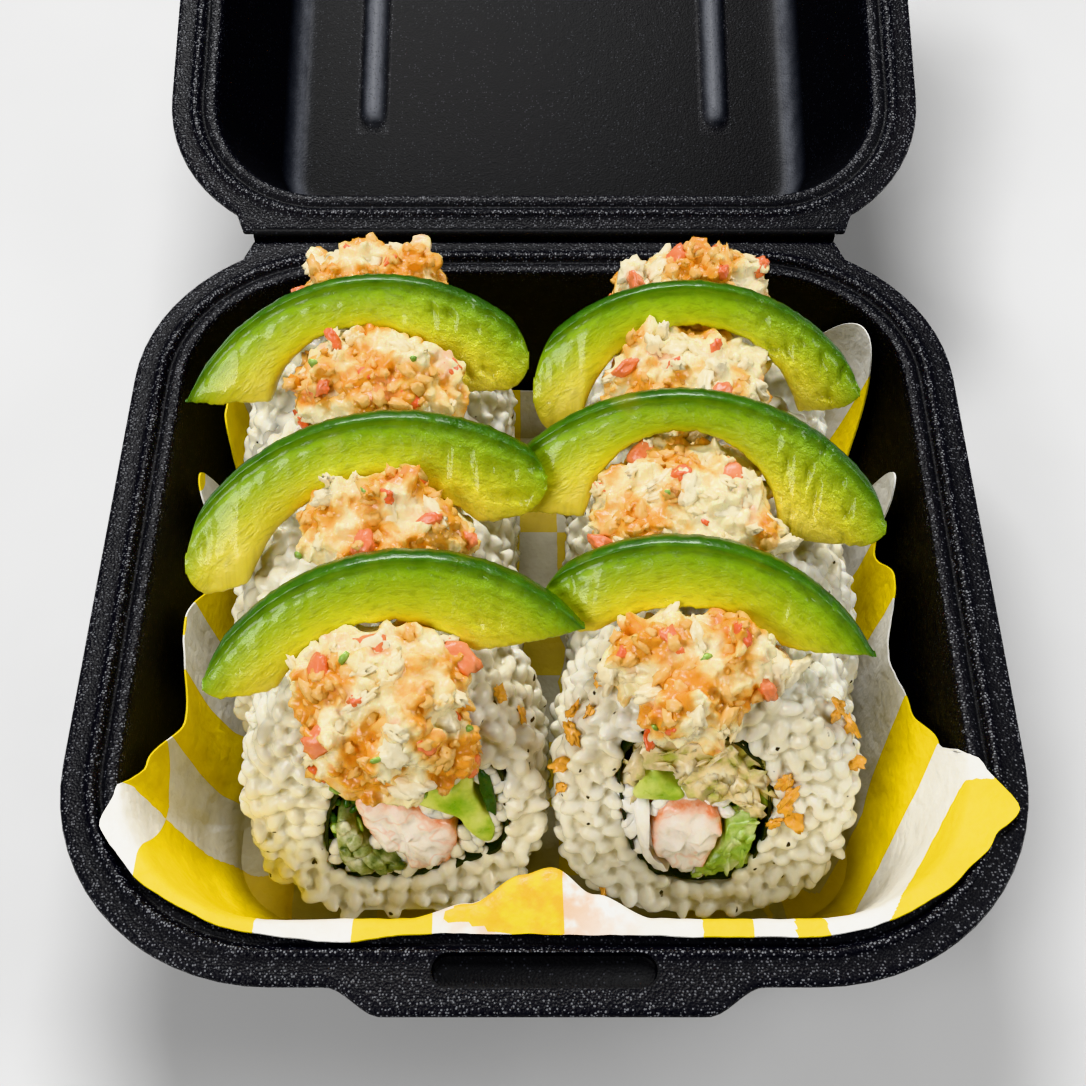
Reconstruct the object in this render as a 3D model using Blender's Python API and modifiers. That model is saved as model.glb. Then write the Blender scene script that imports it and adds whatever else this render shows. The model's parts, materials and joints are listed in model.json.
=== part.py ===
# An open foam takeaway box, lined with paper, that holds two rows of uramaki sushi
# under heaps of chopped topping and six avocado slices.
#
# Metres, +Z up. +X is to the right and +Y goes back to the hinge, as seen by someone
# about to eat. The origin is on the table under the middle of the box.

import random
from math import cos, pi, radians, sin, sqrt

import bmesh
import bpy
from mathutils import Matrix, Vector, noise

MM = 0.001
GAP = 0.3 * MM  # left between pieces that touch on the real thing

# The box: a square foam tray and a lid like it, joined along the back
BOX_HALF = 76 * MM
BASE_CORNER = 36 * MM
LID_CORNER = 31.5 * MM
SHUT_PLANE = 38 * MM  # height at which the two flanges meet
RIDGE_DROP = 0.4 * MM  # of each flange's ridge from that plane, room for the paper's corners
FLANGE = 9.7 * MM
FOAM = 2.2 * MM
BASE_DRAFT = 7.8 * MM  # how far the base's wall leans in
LID_DRAFT = 9.6 * MM
LID_DEPTH = 36 * MM
HINGE_Y = 76.3 * MM
HINGE_HALF = 57.5 * MM
HINGE_BAR = 1 * MM  # radius of the moulded bead that the lid folds about
LID_OPEN = 163  # degrees back from shut, as photographed
TAB_ROOT_HALF = 31 * MM
TAB_TIP_HALF = 24.6 * MM
TAB_REACH = 4.4 * MM
LOCK_HALF = 16.5 * MM
LOCK_WIDTH = 5 * MM
LOCK_DEPTH = 1.2 * MM
LOCK_Y = LOCK_WIDTH / 2 - 0.3 * MM - BOX_HALF
RIB_X = 38.5 * MM
RIB_LENGTH = 62 * MM
RIB_WIDTH = 4.6 * MM
RIB_SUNK = 0.45 * MM  # of the rib's middle line above the ceiling's face

# The paper liner
PAPER = 0.3 * MM
PAPER_LIFT = 0.35 * MM  # of its underside from the floor
PAPER_CLEAR = 0.9 * MM  # of its underside from the wall
OVER_RIM = 36.5  # an edge higher than this laps outward over the flange by what is left
# Around the box from +X: degrees, height of the edge, how far it leans in from the wall
PAPER_EDGE = (
    (0, 30, 2.5), (8, 25, 3), (17, 34, 2), (27, 11, 1.5), (41, 36, 1), (57, 13, 1.5),
    (90, 12, 1), (122, 14, 1), (148, 29, 3.5), (155, 15, 2), (162, 33, 2.5), (173, 22, 3.5),
    (189, 30, 2), (204, 27, 3), (211, 33, 1), (214, 37, 0), (217, 40, 0), (222, 39.2, 0),
    (230, 37.9, 0), (237, 37.8, 0), (247, 39.7, 0), (256, 38.2, 0), (260, 36.2, 0),
    (264, 30, 4), (270, 28, 8), (276, 31, 4), (280, 36.4, 0), (287, 38.8, 0), (298, 38.8, 0),
    (305, 37.4, 0), (311, 33, 1.5), (317, 35.5, 0.5), (321, 37.6, 0), (326, 42.5, 0),
    (329, 37.2, 0), (332, 30, 0.8), (338, 25, 2), (347, 26, 3.5),
)
PAPER_ROWS = (0, 0.15, 0.45, 0.8, 0.94, 1)  # shares of the way up from the floor's edge

# The rolls: round in the plane of their cut faces, which lean back from upright
ROLL_RADIUS = 25 * MM
FACE_TILT = radians(20)
ROLL_AXIS_Z = 27 * MM
ROW_FRONT_Y = -43.7 * MM  # of the front face, level with the axis
PIECE_PITCH = 22.2 * MM
PIECE_LENGTH = PIECE_PITCH - GAP
REST_FLAT = 24.5 * MM  # below the axis, where a roll is flat
FACE_ROUNDING = 2.4 * MM
GRAIN_BUMP = 0.45 * MM
ROW_X = {
    "left": (-24.3 * MM, -28.6 * MM, -29.8 * MM, -30.4 * MM),
    "right": (26.3 * MM, 28.8 * MM, 28.8 * MM, 28.0 * MM),
}
NORI = 0.6 * MM
# Points around a piece, loops along its side and loops on each face
RICE_DETAIL = {"front": (34, 4, 2), "middle": (26, 3, 1), "back": (28, 3, 1)}
# How far each filling stands out of the front face
BULGE = {"prawn": 1.1 * MM, "avocado": 0.6 * MM, "cucumber": 0.2 * MM, "cream": 0.3 * MM,
         "flakes": 0.5 * MM, "greens": 0.1 * MM}

# Outlines in the plane of a cut face, in millimetres across and up from the roll's axis
NORI_OUTLINE = {
    "left": ((-7, 5.5), (-10.5, -1), (-11.3, -9), (-9.4, -15), (-3, -15.2), (4, -14.8), (11, -12.3),
             (17, -8.5), (18.3, -1), (17.5, 7), (13.5, 10.8), (6, 9), (-1, 7.2)),
    "right": ((-14.4, 8), (-12.6, 14), (-6, 17), (2, 15), (8, 9.5), (10, 1), (9.3, -8),
              (6, -14.6), (-2, -16), (-9.3, -13.5), (-12.5, -6), (-13.8, 2)),
}
NORI_MIDDLE = {"left": (2, -2.5), "right": (-2, 0.5)}
FILLINGS = {
    "left": {
        "avocado": ((2, 3.3), (5, 5), (9.3, 5.2), (11.8, 8.4), (13, 7), (13.2, 3.6), (16.2, -2.6),
                    (15.9, -6), (14.6, -6.6), (11.8, -3.7), (10.1, -0.9), (4, 1.9)),
        "prawn": ((-5.6, 3.5), (0.6, 2.2), (3.2, 0.4), (9, -2.9), (10.2, -6.2), (8.7, -10.9),
                  (5.8, -12.3), (2.9, -11.7), (1.2, -9.6), (-2.8, -6.7), (-4.8, -3), (-5.6, 0)),
        "cucumber": ((-9.1, -1.8), (-6.7, -3), (-5.7, -6.2), (-3.3, -8.9), (0.2, -11.2),
                     (0.6, -13.2), (-3.5, -13.6), (-7.8, -13.5), (-9.5, -9)),
        "greens": ((13.9, 8.6), (15.9, 6.4), (16.6, 1), (16.2, -0.9), (14.3, 3.4)),
    },
    "right": {
        "avocado": ((-12, 3.7), (-11.4, 6.4), (-9.2, 9.6), (-7.1, 7.8), (-4.1, 4.6), (-4.4, 3),
                    (-8, 2.9)),
        "prawn": ((-8.8, -2.6), (-6.9, 0.7), (-3.5, 1.5), (0.2, 0.8), (1.9, -1.9), (1.8, -6),
                  (-0.3, -9.8), (-2.3, -12.1), (-4.6, -12), (-7, -9), (-8.5, -6)),
        "cream": ((-11.8, 1.6), (-9.4, 1.2), (-10.1, -2.6), (-9.9, -6.4), (-7.9, -10.3),
                  (-5.4, -13), (-7.6, -12.6), (-10, -9.5), (-11.2, -5)),
        "cucumber": ((3.6, -3.1), (7.8, -1.3), (7.8, -6), (6.4, -11.2), (3.6, -13.4), (-0.5, -14.2),
                     (-1.1, -12.8), (1.3, -9.9), (3, -6.6)),
        "flakes": ((-12, 10.6), (-10.4, 13.4), (-6, 15.1), (0.5, 13.9), (5.6, 9.3), (8, 3.5),
                   (7.9, 0.2), (3, 2.4), (-2.4, 4), (-4.9, 8), (-8.6, 11.2)),
    },
}

# The avocado slices: half rings cut from a pitted half. Each lies in a plane that leans
# back, and its outline is given in that plane, in millimetres from the rim's highest point
SLICE_LEAN = radians(44)
SLICE_THICK = 5.6 * MM
SLICE_STATIONS = 13
SLICE_AROUND = 8
SLICES = {
    # place of the rim's top, turn about Z, rim circle, pit circle, lower edge, ends
    "left_front": dict(at=(-24.4, -19.1, 65), turn=1, rim=(3.4, -37.1, 37.1), pit=(0.3, -30.5, 19.4),
                       edge=((-27, -23.5), (29, -13.5)), ends=(-28.6, 30.5)),
    "left_middle": dict(at=(-22.2, 7.9, 65.6), turn=-1, rim=(-1, -41, 41), pit=(-4.1, -34.5, 22.6),
                        edge=((-35, -31.5), (20, -16.5)), ends=(-36.4, 22.8)),
    "left_back": dict(at=(-29.3, 39.2, 64.5), turn=-2, rim=(1.7, -37.7, 37.9), pit=(-1.5, -25.9, 16.9),
                      edge=((-31, -23.4), (26, -19.2)), ends=(-33, 26.9)),
    "right_front": dict(at=(22.5, -15.4, 64.8), turn=-10, rim=(2.4, -35, 34.4), pit=(3.2, -34.5, 22.6),
                        edge=((-19, -18.6), (29, -15.6)), ends=(-22, 30.4)),
    "right_middle": dict(at=(21.2, 11.8, 66.6), turn=-10, rim=(5.6, -38.4, 38.8), pit=(3.8, -22.4, 15.7),
                         edge=((-24, -23.6), (34, -21.6)), ends=(-27, 36.6)),
    "right_back": dict(at=(25.3, 37.8, 64.5), turn=-2, rim=(0.3, -35, 35.1), pit=(0.9, -26.8, 19.1),
                       edge=((-26, -27), (28, -21.3)), ends=(-26.8, 30)),
}

# The heaps of chopped topping: each is one or two rounded mounds, in millimetres,
# as centre, half sizes and tilt in degrees, and a count of the chunks that stand out
HEAPS = {
    "left_1": (((-25, -33, 50), (14.2, 10.5, 9.5), 0), ((-23.4, -41.6, 45.5), (13.8, 5.2, 10), 20), 10),
    "left_2": (((-25.5, -5.5, 50), (14.2, 13, 10), 0), None, 8),
    "left_3": (((-28.5, 24.8, 50), (15.5, 13.4, 10), 0), None, 8),
    "left_4": (((-30, 48, 50), (13.5, 8, 9.5), 0), None, 7),
    "right_1": (((24, -30, 50.2), (15.2, 9, 8.3), 0), ((22.4, -37.6, 49.2), (8.2, 4.6, 6.4), 20), 8),
    "right_2": (((23.3, -2, 50), (15.6, 14, 10.5), 0), None, 8),
    "right_3": (((24.5, 25.5, 50), (14.2, 13, 10), 0), None, 7),
    "right_4": (((26.8, 47, 50), (14.5, 8, 9.5), 0), None, 7),
}

COLOURS = {
    # linear red, green, blue and roughness
    "foam": ((0.012, 0.012, 0.014), 0.45),
    "paper": ((0.85, 0.84, 0.78), 0.6),
    "rice": ((0.80, 0.77, 0.66), 0.35),
    "nori": ((0.010, 0.018, 0.012), 0.4),
    "prawn": ((0.82, 0.55, 0.46), 0.3),
    "avocado": ((0.55, 0.62, 0.06), 0.3),
    "cucumber": ((0.35, 0.55, 0.20), 0.3),
    "greens": ((0.03, 0.12, 0.03), 0.35),
    "cream": ((0.86, 0.82, 0.70), 0.35),
    "flakes": ((0.62, 0.50, 0.25), 0.4),
    "topping": ((0.84, 0.55, 0.22), 0.4),
}


def clear_scene():
    for obj in list(bpy.data.objects):
        bpy.data.objects.remove(obj, do_unlink=True)


def collection(name):
    made = bpy.data.collections.new(name)
    bpy.context.scene.collection.children.link(made)
    return made


def material(name, kind):
    colour, roughness = COLOURS[kind]
    made = bpy.data.materials.new(name)
    made.use_nodes = True
    shader = made.node_tree.nodes["Principled BSDF"]
    shader.inputs["Base Color"].default_value = (*colour, 1)
    shader.inputs["Roughness"].default_value = roughness
    shader.inputs["Metallic"].default_value = 0
    return made


def add_object(name, mesh, where, kind=None):
    obj = bpy.data.objects.new(name, mesh)
    where.objects.link(obj)
    if kind:
        mesh.materials.clear()
        mesh.materials.append(material(name, kind))
    return obj


def finished(bm, name, sharp=40):
    """The mesh of bm with its faces outward and round parts shaded smooth."""
    bmesh.ops.recalc_face_normals(bm, faces=bm.faces)
    mesh = bpy.data.meshes.new(name)
    bm.to_mesh(mesh)
    bm.free()
    mesh.shade_smooth()
    mesh.set_sharp_from_angle(angle=radians(sharp))
    return mesh


def loft(loops, cap=True):
    """A closed skin over loops that all have the same number of points."""
    bm = bmesh.new()
    rows = [[bm.verts.new(point) for point in loop] for loop in loops]
    count = len(rows[0])
    for lower, upper in zip(rows, rows[1:]):
        for i in range(count):
            j = (i + 1) % count
            bm.faces.new((lower[i], lower[j], upper[j], upper[i]))
    if cap:
        bm.faces.new(rows[0])
        bm.faces.new(rows[-1])
    else:
        for i in range(count):
            j = (i + 1) % count
            bm.faces.new((rows[-1][i], rows[-1][j], rows[0][j], rows[0][i]))
    return bm


def cutter(obj):
    obj.hide_render = True
    obj.display_type = "WIRE"
    return obj


# The foam box

BACK_ANGLES = (0, 12, 24, 36, 48, 58, 61, 75, 90)  # degrees round a corner next to the hinge
FRONT_ANGLES = (0, 12, 24, 37, 53, 66, 78, 90)
HINGE_FROM = 61  # degrees round the corner at which the hinge's straight edge begins


def box_loop(corner, inset, z, reach=0):
    """One level loop of the box, inset from its outline.

    At reach 1 it takes in the tab at the front and the hinge's straight edge at the back.
    """
    half = BOX_HALF - inset
    radius = corner - inset
    centre = half - radius
    hinge_edge = HINGE_Y - HINGE_BAR - GAP
    points = []
    for quadrant, angles in enumerate((BACK_ANGLES, BACK_ANGLES, FRONT_ANGLES, FRONT_ANGLES)):
        steps = angles if quadrant != 1 else [90 - a for a in reversed(angles)]
        middle_x = centre if quadrant in (0, 3) else -centre
        middle_y = centre if quadrant in (0, 1) else -centre
        for step in steps:
            angle = radians(90 * quadrant + step)
            x = middle_x + radius * cos(angle)
            y = middle_y + radius * sin(angle)
            from_side = step if quadrant == 0 else 90 - step
            if reach and quadrant < 2 and from_side >= HINGE_FROM:
                if from_side == HINGE_FROM:
                    x = HINGE_HALF if x > 0 else -HINGE_HALF
                y = hinge_edge
            points.append(Vector((x, y, z)))
        if quadrant == 2:
            tab = ((-TAB_ROOT_HALF, 0), (-TAB_TIP_HALF, 1), (TAB_TIP_HALF, 1), (TAB_ROOT_HALF, 0))
            for x, out in tab:
                points.append(Vector((x, -half - out * reach * TAB_REACH, z)))
    return points


def tray_profile(draft, depth):
    """From the inner floor over the rim to the outer floor: inset, height over the
    tray's bottom and reach."""
    top = depth - RIDGE_DROP
    floor_inner = FLANGE + draft
    outer = FLANGE - FOAM
    return (
        (floor_inner + 4.2 * MM, FOAM, 0),
        (floor_inner + 1.6 * MM, FOAM + 0.9 * MM, 0),
        (floor_inner, 7 * MM, 0),
        (FLANGE, top - 2.9 * MM, 0),
        (FLANGE - 0.5 * MM, top - 1.3 * MM, 0),
        (FLANGE - 1.2 * MM, top - 0.75 * MM, 0),
        (FLANGE - 2.6 * MM, top - 0.75 * MM, 0),
        (FLANGE - 3.5 * MM, top - 1.3 * MM, 0),
        (FLANGE - 4.4 * MM, top, 0),
        (FLANGE - 5.3 * MM, top, 0),
        (FLANGE - 5.8 * MM, top - 0.5 * MM, 0),
        (0.5 * MM, top - 0.5 * MM, 1),
        (0, top - 1.1 * MM, 1),
        (0, top - 1.9 * MM, 1),
        (0.9 * MM, top - 2.5 * MM, 1),
        (outer - 0.5 * MM, top - 2.5 * MM, 0),
        (outer + 0.2 * MM, top - 3.4 * MM, 0),
        (outer + 0.96 * draft, 4.5 * MM, 0),
        (outer + draft + 1.4 * MM, 1.4 * MM, 0),
        (outer + draft + 4 * MM, 0, 0),
    )


def pill(half_length, width, low, high, y):
    """A slab with round ends that runs along X."""
    radius = width / 2
    outline = []
    for side in (1, -1):
        for step in range(7):
            angle = radians(30 * step - 90 * side)
            x = side * (half_length - radius) + radius * cos(angle)
            outline.append((x, y + radius * sin(angle)))
    return loft([[Vector((x, y, z)) for x, y in outline] for z in (low, high)])


def hinge_bar():
    """The bead along the hinge with the web that joins it to the base's band."""
    outline = [(-3.2, -1.2), (-3.2, -2.3), (0.3, -2.3)]
    for step in range(9):
        angle = radians(34 * step - 61)
        outline.append((cos(angle), sin(angle)))
    outline.append((-0.9, -1.2))
    half = HINGE_HALF - GAP
    scale = HINGE_BAR
    return loft([[Vector((x, HINGE_Y + y * scale, SHUT_PLANE + z * scale)) for y, z in outline]
                 for x in (-half, half)])


def make_base(parts, cutters):
    loops = [box_loop(BASE_CORNER, *row) for row in tray_profile(BASE_DRAFT, SHUT_PLANE)]
    base = add_object("box_base", finished(loft(loops), "box_base"), parts, "foam")
    band_top = SHUT_PLANE - RIDGE_DROP - 0.5 * MM
    slot = pill(LOCK_HALF, LOCK_WIDTH, band_top - LOCK_DEPTH, band_top + 2 * MM, LOCK_Y)
    slot = cutter(add_object("lock_slot_cutter", finished(slot, "lock_slot_cutter"), cutters))
    bar = finished(hinge_bar(), "hinge_bar_cutter")
    bar = cutter(add_object("hinge_bar_cutter", bar, cutters))
    boolean(base, "DIFFERENCE", [slot])
    boolean(base, "UNION", [bar])


def rib():
    """A long low bead on the lid's ceiling, round at both ends."""
    bm = bmesh.new()
    bmesh.ops.create_uvsphere(bm, u_segments=10, v_segments=6, radius=RIB_WIDTH / 2)
    for v in bm.verts:
        v.co.z *= 0.7
        v.co.y += (RIB_LENGTH - RIB_WIDTH) / 2 * (1 if v.co.y > 0 else -1)
    return bm


def make_lid(parts, cutters):
    """The lid is drawn shut, measured from the hinge, and turned back about it."""
    hinge = Vector((0, HINGE_Y, SHUT_PLANE))
    lift = SHUT_PLANE - LID_DEPTH
    loops = []
    for inset, height, reach in tray_profile(LID_DRAFT, LID_DEPTH):
        loop = box_loop(LID_CORNER, inset, 2 * SHUT_PLANE - height - lift, reach)
        loops.append([point - hinge for point in loop])
    lid = add_object("box_lid", finished(loft(loops), "box_lid"), parts, "foam")
    lid.location = hinge
    lid.rotation_euler.x = -radians(LID_OPEN)

    band = SHUT_PLANE + RIDGE_DROP + 0.5 * MM
    lock = pill(LOCK_HALF - 0.6 * MM, LOCK_WIDTH - 1.2 * MM, SHUT_PLANE - 1.2 * MM, band + 0.8 * MM, LOCK_Y)
    shapes = {"lid_lock_cutter": lock}
    ceiling = 2 * SHUT_PLANE - lift - FOAM + RIB_SUNK
    for name, x in (("left", -RIB_X), ("right", RIB_X)):
        bead = rib()
        bmesh.ops.translate(bead, vec=Vector((x, 0, ceiling)), verts=bead.verts)
        shapes[f"lid_rib_{name}_cutter"] = bead
    joined = []
    for name, bm in shapes.items():
        bmesh.ops.translate(bm, vec=-hinge, verts=bm.verts)
        piece = cutter(add_object(name, finished(bm, name), cutters))
        piece.location = hinge
        piece.rotation_euler.x = -radians(LID_OPEN)
        joined.append(piece)
    boolean(lid, "UNION", joined)


# The paper liner

def between(keys, angle):
    """Height and lean at an angle, eased from one key to the next."""
    for key, after in zip(keys, keys[1:] + keys[:1]):
        span = (after[0] - key[0]) % 360
        along = (angle - key[0]) % 360
        if along <= span:
            share = 0.5 - 0.5 * cos(pi * along / span)
            return tuple(a + share * (b - a) for a, b in zip(key[1:], after[1:]))


def square_point(half, radius, angle, z):
    """Where a ray from the middle at this angle meets a square with round corners."""
    turn = radians(angle)
    dx, dy = abs(cos(turn)), abs(sin(turn))
    centre = half - radius
    reach = half / max(dx, dy)
    if min(reach * dx, reach * dy) > centre:
        # the ray meets the corner's arc instead of the side
        along = (dx + dy) * centre
        reach = along + sqrt(max(0, along**2 - 2 * centre**2 + radius**2))
    return Vector((reach * cos(turn), reach * sin(turn), z))


def paper_point(angle, share):
    """A point of the paper's underside: share 0 is the floor's edge, 1 the free edge."""
    height, lean = between(PAPER_EDGE, angle)
    low = FOAM + PAPER_LIFT
    wall_low, wall_high = 7 * MM, SHUT_PLANE - RIDGE_DROP - 2.9 * MM
    over = height - OVER_RIM
    if over > 0 and share > 0.8:
        inset = 9.3 * MM if share < 1 else (9.2 - over) * MM
        z = 37.4 * MM if share < 1 else min(37.3 + 0.2 * over, 37.95) * MM
    else:
        top = wall_high / 0.8 if over > 0 else height * MM
        z = low + (top - low) * share
        slope = BASE_DRAFT / (wall_high - wall_low)
        inset = FLANGE + slope * (wall_high - z) + PAPER_CLEAR + lean * MM * share**1.5
        inset += 3.4 * MM * max(0, 1 - (z - low) / (5 * MM))
    return square_point(BOX_HALF - inset, max(BASE_CORNER - inset, 8 * MM), angle, z)


def make_paper(parts):
    angles = {key[0] for key in PAPER_EDGE}
    angles |= {4, 12.5, 34, 49, 73, 106, 135, 181, 196, 242, 292}
    bm = bmesh.new()
    rows = [[bm.verts.new(paper_point(a, s)) for a in sorted(angles)] for s in PAPER_ROWS]
    for lower, upper in zip(rows, rows[1:]):
        for i in range(len(lower)):
            bm.faces.new((lower[i - 1], lower[i], upper[i], upper[i - 1]))
    bm.faces.new(rows[0])
    bmesh.ops.recalc_face_normals(bm, faces=bm.faces)
    if next(face for face in bm.faces if len(face.verts) > 4).normal.z < 0:
        bmesh.ops.reverse_faces(bm, faces=bm.faces)
    bmesh.ops.triangulate(bm, faces=bm.faces)
    mesh = bpy.data.meshes.new("paper_liner")
    bm.to_mesh(mesh)
    bm.free()
    mesh.shade_smooth()
    paper = add_object("paper_liner", mesh, parts, "paper")
    sheet = paper.modifiers.new("thickness", "SOLIDIFY")
    sheet.thickness = PAPER
    sheet.offset = 1
    sheet.use_quality_normals = True


# The sushi

def smooth_loop(points, count):
    """count points along a closed smooth curve through points, in metres."""
    size = len(points)
    made = []
    for k in range(count):
        place = k * size / count
        i, t = int(place), place % 1
        p0, p1, p2, p3 = (Vector(points[(i + d) % size]) for d in (-1, 0, 1, 2))
        curve = 2 * p1 + (p2 - p0) * t + (2 * p0 - 5 * p1 + 4 * p2 - p3) * t**2
        curve += (3 * p1 - p0 - 3 * p2 + p3) * t**3
        made.append(curve * 0.5 * MM)
    return made


def by_angle(side, count, grow):
    """The nori's outline read at equal angles about its middle, moved out by grow."""
    centre = Vector(NORI_MIDDLE[side]) * MM
    fine = smooth_loop(NORI_OUTLINE[side], 240)
    made = []
    for k in range(count):
        angle = 2 * pi * k / count
        ray = Vector((cos(angle), sin(angle)))
        best = max(fine, key=lambda p: (p - centre).normalized().dot(ray))
        made.append(centre + ray * ((best - centre).length + grow))
    return made


def on_face(across, up, depth, row_x, front_y):
    """A point of a piece, given in the plane of its leaning front face."""
    y = front_y + depth + up * sin(FACE_TILT)
    return Vector((row_x + across, y, ROLL_AXIS_Z + up * cos(FACE_TILT)))


def roll_section(count, grow=0.0):
    """The roll's outline in the plane of a cut face: round, a little flat where it rests."""
    radius = ROLL_RADIUS + grow
    turns = [2 * pi * k / count for k in range(count)]
    return [Vector((radius * cos(turn), max(radius * sin(turn), -REST_FLAT))) for turn in turns]


def rice_piece(name, side, row_x, front_y, count, sides, faces, hollow, seed):
    """One cut piece of roll. hollow leaves the hole that its nori and fillings stand in."""
    draw = random.Random(seed)
    outer = roll_section(count)
    inner = by_angle(side, count, GAP)
    curve = FACE_ROUNDING
    length = PIECE_LENGTH
    # Share of the way from the hole to the outside, step in from the side, and depth
    front = [(k / faces, curve, 0) for k in range(faces)] + [(1, 0.35 * curve, 0.35 * curve)]
    middle = [(1, 0, curve + (length - 2 * curve) * k / (sides - 1)) for k in range(sides)]
    rows = front + middle + [(share, step, length - depth) for share, step, depth in front[::-1]]
    if not hollow:
        rows = [row for row in rows if row[0] > 0]
    floor = FOAM + PAPER_LIFT + PAPER + GAP
    loops = []
    for share, step, depth in rows:
        loop = []
        for start, end in zip(inner, outer):
            edge = end * (1 - step / ROLL_RADIUS)
            start = start if hollow else edge * 0.15
            point = start + (edge - start) * share
            bump = draw.uniform(-1, 1) * GRAIN_BUMP
            if share == 1:
                point = point * (1 + min(bump, GRAIN_BUMP / 2) / ROLL_RADIUS)
            sunk = 0 if share == 0 or step == 0 else max(bump, 0)
            at = depth + (sunk if depth < length / 2 else -sunk)
            corner = on_face(point.x, point.y, at, row_x, front_y)
            corner.z = max(corner.z, floor)
            loop.append(corner)
        loops.append(loop)
    return finished(loft(loops, cap=not hollow), name, 60)


def filling(name, outline, row_x, front_y, bulge):
    """A strip of filling that runs through a piece, with rounded ends."""
    points = [Vector(point) * MM for point in outline]
    middle = sum(points, Vector((0, 0))) / len(points)
    ends = ((0.72, -bulge), (0.97, 0.4 * MM), (1, PIECE_LENGTH - 0.8 * MM), (0.85, PIECE_LENGTH))
    loops = []
    for shrink, depth in ends:
        shrunk = [middle + (point - middle) * shrink for point in points]
        loops.append([on_face(p.x, p.y, depth, row_x, front_y) for p in shrunk])
    return finished(loft(loops), name, 50)


def nori_ring(name, side, row_x, front_y, count):
    outer = by_angle(side, count, 0)
    inner = by_angle(side, count, -NORI)
    near, far = 0.2 * MM, PIECE_LENGTH - 0.2 * MM
    loops = []
    for outline, depth in ((outer, near), (outer, far), (inner, far), (inner, near)):
        loops.append([on_face(p.x, p.y, depth, row_x, front_y) for p in outline])
    return finished(loft(loops, cap=False), name, 50)


def make_rows(parts):
    for side, places in ROW_X.items():
        for number, row_x in enumerate(places):
            front_y = ROW_FRONT_Y + number * PIECE_PITCH
            stem = f"{side}_{number + 1}"
            place = {0: "front", len(places) - 1: "back"}.get(number, "middle")
            hollow = place != "middle"
            count, sides, faces = RICE_DETAIL[place]
            seed = 10 * number + (1 if side == "left" else 2)
            name = f"rice_{stem}"
            rice = rice_piece(name, side, row_x, front_y, count, sides, faces, hollow, seed)
            add_object(name, rice, parts, "rice")
            if not hollow:
                continue
            name = f"nori_{stem}"
            add_object(name, nori_ring(name, side, row_x, front_y, count // 2), parts, "nori")
            for kind, outline in FILLINGS[side].items():
                name = f"{kind}_{stem}"
                bulge = BULGE[kind] if place == "front" else 0
                add_object(name, filling(name, outline, row_x, front_y, bulge), parts, kind)


# The avocado slices

def slice_edges(s, rim, pit, edge):
    """The slice's upper and lower limit at a place along it, in millimetres."""
    (x0, y0), (x1, y1) = edge
    top = rim[1] + sqrt(max(rim[2] ** 2 - (s - rim[0]) ** 2, 0))
    low = y0 + (y1 - y0) * (s - x0) / (x1 - x0)
    if abs(s - pit[0]) < pit[2]:
        arc = pit[1] + sqrt(pit[2] ** 2 - (s - pit[0]) ** 2)
        low = 0.5 * (low + arc + sqrt((low - arc) ** 2 + 1.2))
    return top, min(low, top - 0.8)


def slice_mesh(name, at, turn, rim, pit, edge, ends, room=0.0):
    """A half ring that leans back. room makes it a plain, larger one, to cut its place."""
    turned = radians(turn)
    across = Vector((cos(turned), sin(turned), 0))
    up = Vector((-sin(turned) * sin(SLICE_LEAN), cos(turned) * sin(SLICE_LEAN), cos(SLICE_LEAN)))
    facing = across.cross(up)
    full = SLICE_THICK / MM / 2
    if room:
        section = [(1, 1), (-1, 1), (-1, -1), (1, -1)]
    else:
        turns = [2 * pi * (k + 0.5) / SLICE_AROUND for k in range(SLICE_AROUND)]
        section = [[abs(c) ** 0.6 * (1 if c > 0 else -1) for c in (cos(t), sin(t))] for t in turns]
    first, last = ends
    loops = []
    for k in range(SLICE_STATIONS):
        s = first + (last - first) * (0.5 - 0.5 * cos(pi * k / (SLICE_STATIONS - 1)))
        top, low = slice_edges(min(max(s, first + 0.3), last - 0.3), rim, pit, edge)
        to_tip = max(0, min(s - first, last - s))
        fullness = max(sqrt(1 - max(0, 1 - to_tip / 4) ** 2), 0.32)
        high = (top - low) / 2 * fullness + room
        thick = full * (0.55 + 0.45 * min(1, to_tip / 9)) + room
        if k in (0, SLICE_STATIONS - 1):
            s += room if k else -room
        loop = []
        for wide, deep in section:
            t = (top + low) / 2 + high * wide
            n = thick * deep - full
            loop.append((Vector(at) + across * s + up * t + facing * n) * MM)
        loops.append(loop)
    return finished(loft(loops), name, 50)


def make_slices(parts, cutters):
    room = []
    for name, shape in SLICES.items():
        full_name = f"avocado_slice_{name}"
        add_object(full_name, slice_mesh(full_name, **shape), parts, "avocado")
        mesh = slice_mesh(f"slice_room_{name}", **shape, room=0.4)
        room.append(cutter(add_object(mesh.name, mesh, cutters)))
    return room


# The heaps of topping

def mound(name, centre, half, tilt, where):
    bm = bmesh.new()
    bmesh.ops.create_icosphere(bm, subdivisions=2, radius=1)
    for v in bm.verts:
        v.co *= 1 + 0.10 * noise.noise(v.co * 2.3 + Vector(centre) * 0.37)
    bmesh.ops.scale(bm, vec=Vector(half) * MM, verts=bm.verts)
    bmesh.ops.rotate(bm, matrix=Matrix.Rotation(-radians(tilt), 3, "X"), verts=bm.verts)
    bmesh.ops.translate(bm, vec=Vector(centre) * MM, verts=bm.verts)
    return add_object(name, finished(bm, name), where)


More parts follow.
